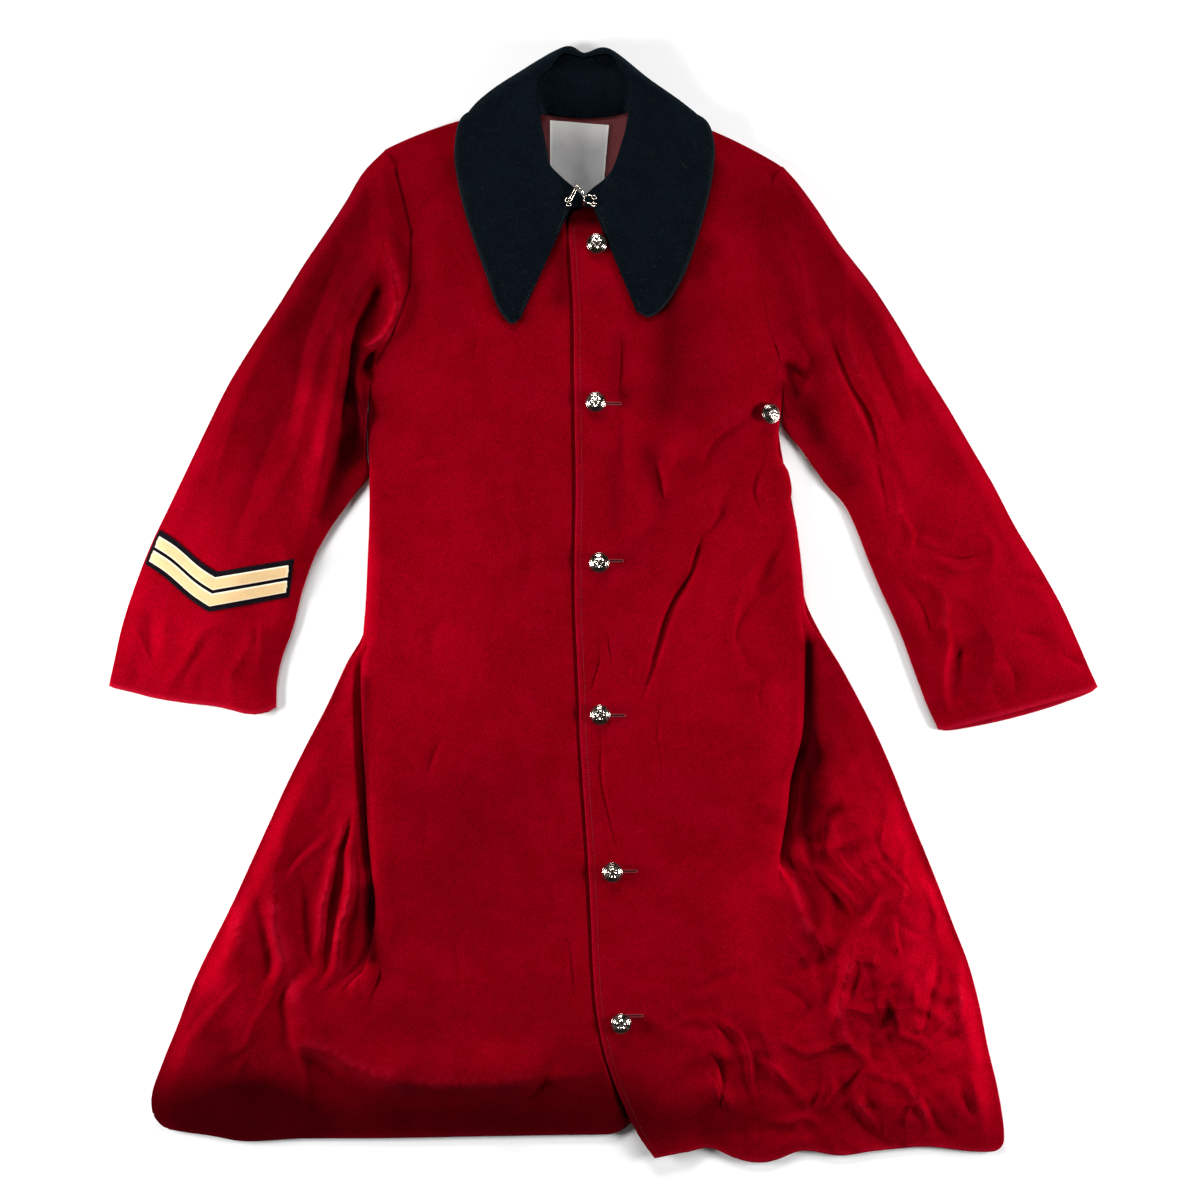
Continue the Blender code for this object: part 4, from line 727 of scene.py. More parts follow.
def front_grid(table, side, hem, lapped, top=160, fold=48, flare=60, down=310):
    """Middle surface of a front: a domed top, its fold at the side and its flare, each row's offsets and heights
    read from the row's form and joined smoothly to the next."""
    length = run_length((table[:, :2] + table[:, 2:4]) / 2)
    close_rows = 24
    near_hem = length[-1] - 30
    at = [np.linspace(0, near_hem, down - close_rows), np.linspace(near_hem, length[-1], close_rows + 1)[1:]]
    r = np.interp(np.concatenate(at), length, np.arange(len(table)))
    in_x, in_y, out_x, out_y, fold_x, tuck, form = between(table, r).T[..., None]
    tuck, form = np.maximum(tuck, 0), np.clip(form, 0, 2)
    spread = np.abs(out_x - fold_x)
    r = r[:, None]
    armhole = ease(ARMHOLE_ROWS - 0.2 - r)
    shoulder = ease(1 - r / 1.5) * 0.75
    reach = SIDE_ROLL + (1 - SIDE_ROLL) * armhole
    last = fold_x - side * reach

    def y_at(x):
        return in_y + (out_y - in_y) * (x - in_x) / (out_x - in_x)

    x_top = in_x + (last - in_x) * np.linspace(0, 1, top)[None] ** 1.15
    z_top = height(x_top, y_at(x_top))
    z_last = z_top[:, -1:]
    # Behind the top: 8 steps round the fold, then 7 out along the flare.
    round_steps, out_steps = 8, 7
    s = np.linspace(0, round_steps, fold + 1)[1:]
    s = np.concatenate([s, round_steps + np.linspace(0, out_steps, flare + 1)[1:]])[None]
    behind = s <= round_steps
    share = s / (round_steps + out_steps)
    # A plain side edge rolls down to the back; at the armhole it runs on flat into the seam.
    roll_d = -SIDE_ROLL * (1 - np.sin(share * math.pi / 2))
    roll_z = MID_REST + (z_last - MID_REST) * np.cos(share * math.pi / 2)
    hole_d = -reach + reach * share
    hole_x = fold_x + side * hole_d
    plain_d = roll_d * (1 - armhole) + hole_d * armhole
    plain_z = roll_z * (1 - armhole) + height(hole_x, y_at(hole_x)) * armhole
    # A folded edge turns under over its own flare, is tucked in behind, and comes out along it.
    lip = np.maximum(z_last, MID_REST + 2 * LAP + 3.4)
    low = MID_REST + LAP + 0.3
    same = np.zeros_like(tuck)
    start = 1 - 0.4 * tuck
    fold_d = [same - SIDE_ROLL, same - 8, same - 1.5, same, same - 3.5, -tuck, -tuck - 2.0, -tuck, start]
    fold_z = [lip, lip, (lip * 2 + low) / 3, (lip + low) / 2 - 0.6, same + low + 0.5, same + low]
    fold_z += [same + (low + MID_REST) / 2, same + MID_REST, same + MID_REST]
    at = np.minimum(s[0], round_steps)
    round_d, round_z = (between(np.concatenate(rows, axis=1).T, at).T for rows in (fold_d, fold_z))
    out = np.clip(s - round_steps, 0, out_steps) / out_steps
    flare_d = start + (spread - start) * out
    flare_x = fold_x + side * flare_d
    rise = rises(BODY_RELIEF, flare_x, y_at(flare_x)) + fine_folds(flare_x, y_at(flare_x))
    free = ease((flare_d - 2.5) / 10) * ease((spread - flare_d) / FLARE_SETTLES)
    flare_z = MID_REST + np.logaddexp(0, 1.4 * rise) / 1.4 * free
    folded_d, folded_z = np.where(behind, round_d, flare_d), np.where(behind, round_z, flare_z)
    # Lower down the top runs out into the flare with no fold between them.
    run_end = np.minimum(RUN_OUT, spread)
    run_round = -SIDE_ROLL + (run_end + SIDE_ROLL) * s / round_steps
    run_d = np.where(behind, run_round, run_end + (spread - run_end) * out)
    run_x = fold_x + side * run_d
    run_z = MID_REST + (height(run_x, y_at(run_x)) - MID_REST) * ease((spread - run_d) / FLARE_SETTLES)
    w, w2 = ease(form), ease(form - 1)
    d = np.where(form <= 1, plain_d * (1 - w) + folded_d * w, folded_d * (1 - w2) + run_d * w2)
    z = np.where(form <= 1, plain_z * (1 - w) + folded_z * w, folded_z * (1 - w2) + run_z * w2)
    lifted = np.where((form > 0) & (form < 1.5), ease(form) * ease((1.5 - form) * 2), 0)
    z_top = z_top + lifted * ease(1 - np.abs(x_top - last) / LIP_SETTLES) * (lip - z_last)
    x = np.concatenate([x_top, fold_x + side * d], axis=1)
    z = np.concatenate([z_top, z], axis=1)
    y = y_at(x)
    z = z * (1 - shoulder) + MID_REST * shoulder
    across = np.clip((x - in_x) / (out_x - in_x), 0, 1)
    y = y + np.clip(1 - r / 3, 0, 1) * SHOULDER_CROWN * np.sin(np.pi * across) ** 0.8
    # Near the hem the cloth comes down on the back.
    to_hem = np.abs(out_y - table[-1, 3])
    down_here = 1 - np.sin(np.clip(to_hem / HEM_SETTLES, 0, 1) * np.pi / 2) ** 0.9
    rest = MID_REST + (0 if lapped else (LAP + 0.3) * ease((120 - x) / 25))
    z = z * (1 - down_here) + rest * down_here
    # The hem's wave fades out three rows up the table.
    y = y + np.interp(len(table) - 1 - r, (0, 1, 2, 3), (1.0, 0.6, 0.2, 0)) * waved(hem, x)
    # The right front dips under the left one's edge; the left one's side is crumpled at the waist.
    if lapped:
        edge = np.interp(-y, -LEFT_FRONT[5:, 1], LEFT_FRONT[5:, 0])
        z = np.maximum(z - LAP * ease((x - edge + 8) / 6), MID_REST)
    else:
        x = x + waved(SIDE_WAVE, y) * ease((x - fold_x + 46) / 40)
    x, y = rounded_corner(x, y, (x[-1, -1], y[-1, -1]), side)
    return np.stack([x, y, z], axis=2)


right_middle = front_grid(RIGHT_FRONT, -1, RIGHT_HEM, True)
left_middle = front_grid(LEFT_FRONT, 1, LEFT_HEM, False)
for name, grid, area in (("right_front", right_middle, 0.428), ("left_front", left_middle, 0.380)):
    to_edge = np.linalg.norm(grid[..., :2] - grid[:, :1, :2], axis=2)
    from_hem = np.linalg.norm(grid[..., :2] - grid[-1:, :, :2], axis=2)
    # The pale front edge and hem are wear; the crests' paleness is wear and painted highlight.
    wear_and_highlight = 0.22 * bell(to_edge, 2.5) + 0.4 * bell(from_hem, 4.0) + crest_wear_and_highlight(grid[..., 0], grid[..., 1])
    piece = cloth_shell(name + "_cloth", grid, MELTON, red_melton, wear_and_painted_light=wear_and_highlight)
    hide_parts(name)
    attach(piece, "root")


# The sleeves are tubes of melton, set in at the armholes and pressed flat. Each
# has an upper and a lower layer, rounded where they turn over at its two edges.
SLEEVE_ROUND = 20.0
# Shares of a sleeve's length: where the armhole's bow has faded out, where the
# cuff's hem is stitched, and over how much of its end it comes down flatter.
BOW_ENDS, CUFF_STITCH, CUFF_DOWN = 0.4, 0.967, 0.12
# Each sleeve from the armhole to the cuff: outer edge, inner edge.
RIGHT_SLEEVE = np.array([
    (-251, 518.5, -267, 258), (-276, 493, -273.2, 236), (-296, 460, -274.2, 212), (-317, 428, -275, 190),
    (-345, 387, -274.4, 168), (-373, 342, -273.6, 146), (-403, 296, -287, 129), (-431, 250, -301, 110),
    (-454, 204, -318, 86), (-476, 158, -333, 60), (-498, 112, -343, 36), (-520, 66, -352, 8), (-538, 20, -361, -28),
    (-553, -26, -374, -64), (-563, -70, -380, -95), (-569, -98, -381, -124),
], float)
LEFT_SLEEVE = np.array([
    (203.5, 499.5, 210, 253), (222, 479, 210.5, 236), (244, 449, 208, 220), (270, 410, 205.5, 207),
    (306, 364, 214, 194), (336, 318, 228, 178), (363, 272, 242, 158), (392, 226, 258, 136), (419, 180, 278, 114),
    (446, 134, 292, 86), (470, 88, 306, 50), (498, 42, 322, 12), (524, -4, 342, -32), (544, -48, 359, -78),
    (556, -76, 374, -118), (567, -100, 388, -148),
], float)
# How far each cuff's hem runs out past the straight line, by its share of the
# way from the outer to the inner edge.
RIGHT_CUFF = np.array([
    (0, -1.5), (0.03, 0), (0.09, 0.8), (0.16, 2.2), (0.25, 4.4), (0.36, 5.3), (0.5, 5.3), (0.61, 4.5), (0.68, 4.7),
    (0.756, 6.4), (0.83, 8.2), (0.89, 7.6), (0.93, 5.4), (0.97, 2.4), (1, -3),
], float)
LEFT_CUFF = np.array([
    (0, -2), (0.03, 0), (0.5, 0), (0.97, 0), (1, -2),
], float)


def sleeve_plan(table, armhole, s, t):
    """Plan position on a sleeve: s from its outer to its inner edge, t down its length, with the armhole's bow fading
    out and the cuff's wave coming in."""
    edges = between(table, np.clip(t, 0, 1) * (len(table) - 1))
    outer, inner = edges[..., :2], edges[..., 2:]
    chord = np.linspace(armhole[0], armhole[-1], len(armhole))
    bow = between(armhole - chord, s * (len(armhole) - 1)) * (np.clip(1 - t / BOW_ENDS, 0, 1) ** 1.6)[..., None]
    cuff = RIGHT_CUFF if table[0, 0] < 0 else LEFT_CUFF
    wave = np.interp(s, cuff[:, 0], cuff[:, 1]) * ease((t - 0.9) / 0.1)
    along = unit((table[-1] - table[-2]).reshape(2, 2).mean(axis=0))
    return outer + (inner - outer) * s[..., None] + bow + along * wave[..., None]


def sleeve_upper(table, armhole, s, t):
    """Points of the upper layer: the plan, and the height that rounds down to both edges and to the cuff."""
    plan = sleeve_plan(table, armhole, s, t)
    ends = sleeve_plan(table, armhole, np.zeros_like(s), t) - sleeve_plan(table, armhole, np.ones_like(s), t)
    width = np.linalg.norm(ends, axis=-1)
    low = MID_BACK + 3.0
    rounded = np.sin(np.clip(np.minimum(s, 1 - s) * width / SLEEVE_ROUND, 0, 1) * np.pi / 2)
    z = low + (height(plan[..., 0], plan[..., 1]) - low) * rounded
    z = low + (z - low) * (1 - 0.55 * ease((t - 1 + CUFF_DOWN) / CUFF_DOWN))
    z = z - 0.45 * bell(t - CUFF_STITCH, 0.005) * rounded
    return np.concatenate([plan, z[..., None]], axis=-1)


def sleeve_grid(table, armhole, side, peek, stations=262, upper=92, under=46, turn=9):
    """Rings of a flattened tube: upper layer, inner roll, lower layer, outer roll. peek lets the lower layer
    stand out past the upper one at the cuff."""
    t = np.linspace(0, 1, stations)[:, None]
    s, s_low = np.linspace(0, 1, upper)[None], np.linspace(1, 0, under)[None]
    top = sleeve_upper(table, armhole, s + 0 * t, t + 0 * s)
    plan = sleeve_plan(table, armhole, s_low + 0 * t, t + 0 * s_low)
    past = peek * np.sin(np.pi * s_low) ** 0.7 * ease((t - 0.93) / 0.07)
    plan = plan + unit(plan[-1] - plan[-6]) * past[..., None]
    low = np.concatenate([plan, np.full(plan.shape[:2] + (1,), MID_BACK)], axis=2)
    out = unit(top[:, 0, :2] - top[:, -1, :2])
    a = np.radians(np.linspace(90, -90, turn + 2)[1:-1])[None, :, None]
    rolls = []
    for edge, sign in ((top[:, -1], -1), (top[:, 0], 1)):
        r = (edge[:, 2] - MID_BACK)[:, None, None] / 2
        xy = edge[:, None, :2] + sign * out[:, None] * r * np.cos(a)
        rolls.append(np.concatenate([xy, MID_BACK + r + r * np.sin(a)], axis=2))
    grid = np.concatenate([top, rolls[0], low, rolls[1][:, ::-1]], axis=1)
    share = np.concatenate([s[0], np.ones(turn), s_low[0], np.zeros(turn)])
    whole = len(share) // 3 * 3
    grid, share = grid[:, :whole], share[:whole]
    # The armhole end stands clear of the front; further down the inner edge lies against the front's side.
    inner_side = ease((share - 0.75) / 0.25) * ease((t - 0.01) / 0.05)
    grid[:, :, 0] += side * (SEAM + 1.2) * np.clip(1 - t / 0.3, 0, 1) * (1 - inner_side)
    return grid


for name, table, front, side, peek in (
    ("right_sleeve", RIGHT_SLEEVE, RIGHT_FRONT, -1, 0.0),
    ("left_sleeve", LEFT_SLEEVE, LEFT_FRONT, 1, 7.0),
):
    grid = sleeve_grid(table, front[:ARMHOLE_ROWS, 2:4], side, peek)
    from_cuff = np.linalg.norm(grid - grid[-1:], axis=2)
    # The pale cuff is wear; the crests' paleness is wear and painted highlight.
    wear_and_highlight = 0.55 * bell(from_cuff, 4.0) + crest_wear_and_highlight(grid[..., 0], grid[..., 1])
    piece = cloth_shell(name + "_cloth", grid, MELTON, red_melton, ring=True, wear_and_painted_light=wear_and_highlight)
    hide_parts(name)
    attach(piece, "root")


# The neck is lined with thin dull red twill, which shows between the collar's
# leaves. A plain white tape label is sewn to it; it stays blank.
LINING = 0.8
TAPE = 0.35
LINING_RIGHT = np.array([(-78, 572), (-80, 548), (-76, 528), (-71, 508), (-64, 490), (-54, 472), (-44, 456)], float)
LINING_LEFT = np.array([(32, 572), (36, 548), (34, 528), (25, 508), (14, 490), (2, 472), (-10, 456)], float)
LABEL_CORNERS = np.array([(-62.5, 554.5), (5.0, 549.0), (-62.5, 469.0), (-2.5, 464.0)])


def twill(name, deep, bright, threads, angle, rough, sheen, ribs=0.5, pale=(0.9, 0.87, 0.8, 1)):
    """Thin woven cloth: slanting ribs of thread, uneven from thread to thread, in two near colours, paler at its
    woven edges and where the mesh carries painted light."""
    made, tree, shader = new_material(name)
    cloth = add_node(tree, "ShaderNodeUVMap", uv_map="cloth").outputs["UV"]
    slant = turned(tree, cloth, angle)
    ways = []
    for way, scale, uneven in (("X", threads, 0.7), ("Y", threads * 1.3, 0.9)):
        wave = {"Vector": slant, "Scale": scale, "Distortion": uneven, "Detail": 2.0, "Detail Scale": 4.0}
        ways.append(add_node(tree, "ShaderNodeTexWave", wave, bands_direction=way).outputs["Fac"])
    both = maths(tree, "MULTIPLY", *ways)
    cloudy = noise(tree, cloth, 45.0, 4.0, 0.6)["Fac"]
    base = tint(tree, deep, bright, grey_ramp(tree, both, 0.0, 0.8, 0.15, 0.85))
    base = tint(tree, base, deep, grey_ramp(tree, cloudy, 0.42, 0.7, 0.0, 0.5))
    look = {
        "Base Color": tint(tree, base, pale, carried(tree, "wear_and_painted_light")),
        "Roughness": rough,
        "Specular IOR Level": 0.25,
        "Sheen Weight": sheen,
        "Normal": bump(tree, ribs, 0.0003, both),
    }
    connect(tree, shader, look)
    return made


red_lining = twill("red_lining", (0.070, 0.0025, 0.005, 1), (0.145, 0.006, 0.011, 1), 260.0, 35, 0.62, 0.15)
# The tape is set grey rather than white: painted shade from the collar over it.
white_tape = twill("white_tape", (0.27, 0.265, 0.27, 1), (0.48, 0.47, 0.455, 1), 330.0, 0, 0.85, 0.03, 0.35)

right, left = (between(side, np.linspace(0, len(side) - 1, 61)) for side in (LINING_RIGHT, LINING_LEFT))
plan = meeting(np.linspace(right[0], left[0], 61), np.linspace(right[-1], left[-1], 61), right, left)
slack = 0.25 + 0.25 * ripple(plan[..., 0], plan[..., 1], 24, 0.3, 14)
lining_z = MELTON + SEAM + LINING / 2 + slack * 0.6 - 1.2 * ease((plan[..., 1] - 562) / 6)
lining = cloth_shell("neck_lining_cloth", np.concatenate([plan, lining_z[..., None]], axis=2), LINING, red_lining)
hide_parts("neck_lining")
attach(lining, "root")

# The label cockles a little, and is paler along its sides and towards its top; the paler top is painted light.
across, down = np.meshgrid(np.linspace(-0.5, 0.5, 46), np.linspace(0.5, -0.5, 58))
left, low = 0.5 - across, 0.5 - down
weights = [left * (1 - low), (1 - left) * (1 - low), left * low, (1 - left) * low]
plan = np.stack(weights, axis=2) @ LABEL_CORNERS
cockle = 0.45 * np.sin(across * 5.2 + 0.6) * np.cos(down * 4.1) + 0.3 * ripple(plan[..., 0], plan[..., 1], 17, 0.9, 31)
label_z = MELTON + 2 * SEAM + LINING + 0.9 + cockle
selvedge_and_painted_light = 0.55 * bell(0.5 - np.abs(across), 0.02) + 0.35 * ease((down - 0.1) / 0.4)
middle = np.concatenate([plan, label_z[..., None]], axis=2)
label = cloth_shell("blank_label", middle, TAPE, white_tape, wear_and_painted_light=np.clip(selvedge_and_painted_light, 0, 1))
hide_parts("label")
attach(label, "root")


# The collar is dark felt, two layers and an interlining, 2.6 mm thick. A stand
# rises from the neck seam and the fall rolls over it into two long points.
FELT = 2.6
NECK_MIDDLE = (-24.0, 520.0)
STITCH_FROM_BORDER = 6.5
# Rows of the table below where the right leaf ends, the centre back, and where the left leaf starts.
RIGHT_LEAF_ENDS, CENTRE_BACK, LEFT_LEAF_STARTS = 10.6, 13, 15.4
# From the right leaf's tip round to the left one's: neck seam, roll line, outer
# edge, end of the cloth behind it, how far it is tucked behind, and its rise.
COLLAR = np.array([
    (-26, 456, -40, 453, -97, 327, -99, 326, 0, 6), (-26, 461, -42, 457, -103, 321, -106, 320, 0, 6),
    (-27, 467, -44, 462, -111, 328, -114, 327, 0, 6.2), (-36, 476, -47, 468, -120, 343, -123, 342, 0, 6.5),
    (-49, 487, -53, 480, -133, 380, -136, 379, 0, 7.5), (-63, 502, -63, 498, -146, 417, -149, 416, 0, 8.5),
    (-67, 520, -69.5, 519, -157, 452, -160, 451, 0, 10), (-71, 540, -75, 541, -165, 487, -168, 487, 0, 10),
    (-74, 554, -79.5, 563, -168, 521, -171, 522, 0, 11), (-73, 561, -80, 583, -160, 553, -163, 556, 0, 12),
    (-67, 562, -77, 600, -140, 580, -136, 570, 0.8, 13), (-55, 560, -63, 612, -104, 605, -100, 574, 1, 14),
    (-42, 559, -47, 629, -47, 637, -62, 572, 1, 14), (-24, 558, -24, 625, -23, 630, -24, 570, 1, 13),
    (-2, 559, 6, 628, 5, 635, 12, 572, 1, 14), (12, 561, 20, 607, 52, 600, 52, 574, 1, 14),
    (24, 564, 28, 597, 88, 575, 84, 569, 0.8, 13), (30, 562, 31, 582, 112, 551, 115, 553, 0, 12),
    (31, 554, 29, 563, 122, 524, 125, 525, 0, 11), (27, 538, 25, 541, 120, 491, 123, 491, 0, 10),
    (21, 519, 19, 520, 113, 457, 116, 456, 0, 10), (13, 502, 12, 500, 103, 421, 106, 420, 0, 8.5),
    (2, 487, 3, 482, 89, 381, 92, 380, 0, 7.5), (-13, 475, -4, 468, 73, 352, 76, 351, 0, 6.5),
    (-21, 467, -7, 463, 61, 337, 64, 336, 0, 6.2), (-22, 461, -10, 458, 49, 330, 51, 328, 0, 6),
    (-22, 456, -12, 454, 37, 336, 39, 334, 0, 6),
], float)
dark_felt = woollen(
    "dark_felt", (0.0026, 0.0046, 0.0070, 1), (0.0036, 0.0064, 0.0090, 1), (0.0066, 0.0108, 0.0135, 1),
    (0.035, 0.040, 0.044, 1), rough=0.95, nap=(300, 260), fuzz=0.4, sheen=0.018, sheen_tint=(0.5, 0.7, 0.8, 1)
)


def smooth_height(p):
    """Height of the middle of the upper cloth at a plan point, without its finer creases."""
    return float(height(p[0], p[1], False))


def collar_sections():
    """Sections of the fall and of the stand at each row. A leaf lies on the fronts a seam's gap above them and climbs
    to the roll line; at the back of the neck it drops behind the stand instead."""
    fall, stand = [], []
    for row in COLLAR:
        neck, roll, edge, tail = row[:8].reshape(4, 2)
        tucked, rise = row[8:]
        on_front = tucked < 0.5
        seat = lambda p: smooth_height(p) + MELTON / 2 + SEAM + FELT / 2 + 0.5
        below_roll = smooth_height(roll) if on_front else MID_REST + LAP + 6.0
        top = (below_roll + rise) * (1 - tucked) + (MID_REST + LAP + 13.0) * tucked
        section = []
        for f in (0, 0.1, 0.26, 0.5, 0.75, 1):
            p = roll + (edge - roll) * f
            z = (seat(p) + (top - seat(p)) * (1 - ease(f / 0.55))) if on_front else 0
            section.append((*p, z * (1 - tucked) + (top + (7.0 - top) * f**2.2) * tucked))
        for f in (0.12, 0.5, 1):
            p = edge + (tail - edge) * f
            section.append((*p, seat(p) if on_front else FELT / 2 + (2.4 if f < 0.3 else 0)))
        fall.append(section)
        foot = (smooth_height(neck) + MELTON / 2 + SEAM if on_front else 3.6) + 0.4
        crest = max(top - FELT / 2 - SEAM - 3.8, foot + 1.5)
        inward = (roll - neck) * (1.0 if on_front else 0.97)
        steep = 1 if on_front else 0.8
        stand.append([(*(neck + inward * f), foot + (crest - foot) * f**steep) for f in (0, 0.35, 0.7, 1)])
    return np.array(fall), np.array(stand)


def finer(sections, rows, cols):
    """The sections read at fractional rows and columns, cubic both ways."""
    return between(between(sections, rows).transpose(1, 0, 2), cols).transpose(1, 0, 2)


def stretches(*ends_and_counts):
    """Evenly spaced numbers in stretches, each given as its start, its end and how many, and the last end."""
    parts = [np.linspace(a, b, count, endpoint=False) for a, b, count in ends_and_counts]
    return np.append(np.concatenate(parts), ends_and_counts[-1][1])


fall_sections, stand_sections = collar_sections()
# Closer rows at the centre-back seam, closer columns at the stitched edge.
collar_rows = stretches((0, 12.6, 100), (12.6, 13.4, 28), (13.4, 26, 100))
leaf = finer(fall_sections, collar_rows, stretches((0, 4, 32), (4, 5, 25), (5, 8, 12)))
from_border = np.zeros(leaf.shape[:2])
from_border[:, :-1] = np.cumsum(np.linalg.norm(np.diff(leaf[:, ::-1], axis=1), axis=2), axis=1)[:, ::-1]
free_edge = ease((RIGHT_LEAF_ENDS - collar_rows) / 1.2) + ease((collar_rows - LEFT_LEAF_STARTS) / 1.2)
free_edge = free_edge[:, None]
seam = bell(collar_rows - CENTRE_BACK, 0.06)[:, None]
leaf[..., 2] += 0.55 * ripple(leaf[..., 0], leaf[..., 1], 34, 0.7, 17) * ease(from_border / 30)
leaf[..., 2] -= 0.55 * bell(from_border - STITCH_FROM_BORDER, 1.4) * free_edge + 0.9 * seam * (1 - free_edge)
leaf[..., 2] = np.maximum(leaf[..., 2], FELT / 2 + 0.1)
fall = cloth_shell("collar_fall_felt", leaf, FELT, dark_felt, wear_and_painted_light=0.16 * bell(from_border, 2.5) * free_edge)
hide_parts("collar_fall")
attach(fall, "root")

wall = finer(stand_sections, collar_rows, np.linspace(0, 3, 31))
wall[..., :2] -= unit(NECK_MIDDLE - wall[..., :2]) * 0.9 * seam[..., None]
wall[..., 2] += 0.4 * ripple(wall[..., 0], wall[..., 1], 15, 0.2, 5) * np.sin(np.linspace(0, np.pi, 31))[None]
stand = cloth_shell("collar_stand_felt", wall, MELTON, dark_felt)
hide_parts("collar_stand")
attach(stand, "root")


# Sewing: thread stitches sunk along the collar's edge and the front's edge, and
# the worked buttonholes, whose lighter red thread rings each slit.
def plain_material(name, colour, rough, grain, darker=0.75):
    """One colour broken by a fine grain that also roughens the surface."""
    made, tree, shader = new_material(name)
    place = add_node(tree, "ShaderNodeTexCoord").outputs["Object"]
    grains = noise(tree, place, grain, 4.0, 0.6)["Fac"]
    dark = tuple(c * darker for c in colour[:3]) + (1,)
    look = {
        "Base Color": tint(tree, dark, colour, grey_ramp(tree, grains, 0.35, 0.65)),
        "Roughness": grey_ramp(tree, grains, 0.3, 0.7, rough * 0.85, min(1.0, rough * 1.15)),
        "Specular IOR Level": 0.3,
        "Normal": bump(tree, 0.5, 0.0001, grains),
    }
    connect(tree, shader, look)
    return made


def row_of_copies(name, shape, faces, places, ahead, material):
    """The same small shape at each place, turned so that its x runs ahead and its z points up."""
    ahead = unit(ahead)
    side = unit(np.cross((0, 0, 1.0), ahead))
    up = np.cross(ahead, side)
    shape = np.asarray(shape, float)
    shape = np.broadcast_to(shape, (len(places),) + shape.shape[-2:])
    points = places[:, None] + np.einsum("kpa,akc->kpc", shape, np.stack([ahead, side, up]))
    many = [[v + k * shape.shape[1] for v in face] for k in range(len(places)) for face in faces]
    return add_mesh(name, points.reshape(-1, 3), many, material, sharp=70)


def stitch_shape(length, wide, high, sunk=0.1):
    """One stitch: an ellipse's quarter arcs give its length, width and height; it ends in two points."""
    points = [(-length / 2, 0, -sunk)]
    for at, full in ((-0.32, 0.8), (0.0, 1.0), (0.32, 0.8)):
        arc = np.linspace(0, math.pi, 4)
        points += [(at * length, wide / 2 * full * math.cos(a), high * full * math.sin(a) - sunk) for a in arc]
    points.append((length / 2, 0, -sunk))
    faces = [(0, 2 + k, 1 + k) for k in range(3)] + [(0, 1, 4)]
    for a, b in ((1, 5), (5, 9)):
        faces += [(a + k, a + k + 1, b + k + 1, b + k) for k in range(3)] + [(a + 3, a, b, b + 3)]
    return points, faces + [(9 + k, 10 + k, 13) for k in range(3)] + [(12, 9, 13)]


def along_path(path, pitch):
    """Points every pitch along a path, and the direction ahead at each."""
    length = run_length(path)
    at = np.arange(pitch / 2, length[-1], pitch)
    return points_at(path, length, at), points_at(path, length, at + 0.5) - points_at(path, length, at - 0.5)


dark_thread = plain_material("dark_thread", (0.012, 0.016, 0.020, 1), 0.6, 2500)
red_thread = plain_material("red_thread", (0.15, 0.001, 0.006, 1), 0.6, 2500)
hole_thread = plain_material("buttonhole_thread", (0.24, 0.010, 0.020, 1), 0.55, 2500)
slit_shadow = plain_material("buttonhole_slit", (0.030, 0.0005, 0.001, 1), 0.9, 1500)

# The leaves are stitched all along their edge, and the collar's two ends across.
leaf_up = grid_normals(leaf)
leaf_top = leaf + leaf_up * np.sign(leaf_up[..., 2:3]) * FELT / 2
lines = []
for leaf_rows in (collar_rows < RIGHT_LEAF_ENDS - 0.4, collar_rows > LEFT_LEAF_STARTS + 0.4):
    rows = zip(leaf_top[leaf_rows][:, ::-1], from_border[leaf_rows][:, ::-1])
    lines.append(np.concatenate([points_at(row, from_edge, [STITCH_FROM_BORDER]) for row, from_edge in rows]))
for end_row in (0.5, 25.5):
    lines.append(finer(fall_sections, np.array([end_row]), np.linspace(0.5, 4.8, 40))[0] + (0, 0, FELT / 2))
found = [along_path(line, 3.0) for line in lines]
places, ahead = (np.concatenate(part) for part in zip(*found))
piece = row_of_copies("collar_stitches", *stitch_shape(2.1, 0.55, 0.35), places, ahead, dark_thread)
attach(piece, "root")

# The front's stitches start below the collar, and run a little in from the edge.
BELOW_COLLAR, STITCH_FROM_EDGE = 438, 6.0
beside_edge = left_middle[left_middle[:, 0, 1] <= BELOW_COLLAR, :40]
from_edge = np.linalg.norm(beside_edge[..., :2] - beside_edge[:, :1, :2], axis=2)
line = np.concatenate([points_at(row, in_row, [STITCH_FROM_EDGE]) for row, in_row in zip(beside_edge, from_edge)])
places, ahead = along_path(line + (0, 0, MELTON / 2 + 0.05), 3.4)
piece = row_of_copies("front_edge_stitches", *stitch_shape(2.3, 0.5, 0.3), places, ahead, red_thread)
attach(piece, "root")

# Left and right end and height of each buttonhole, and how wide its ring and its slit are.
HOLES = ((-6, 19, 227.7), (-3, 21.3, 47.2), (-2, 23.6, -130), (12, 37.4, -308), (22, 44.3, -473.8))
HOLE_WIDE, SLIT_WIDE = 2.8, 1.6


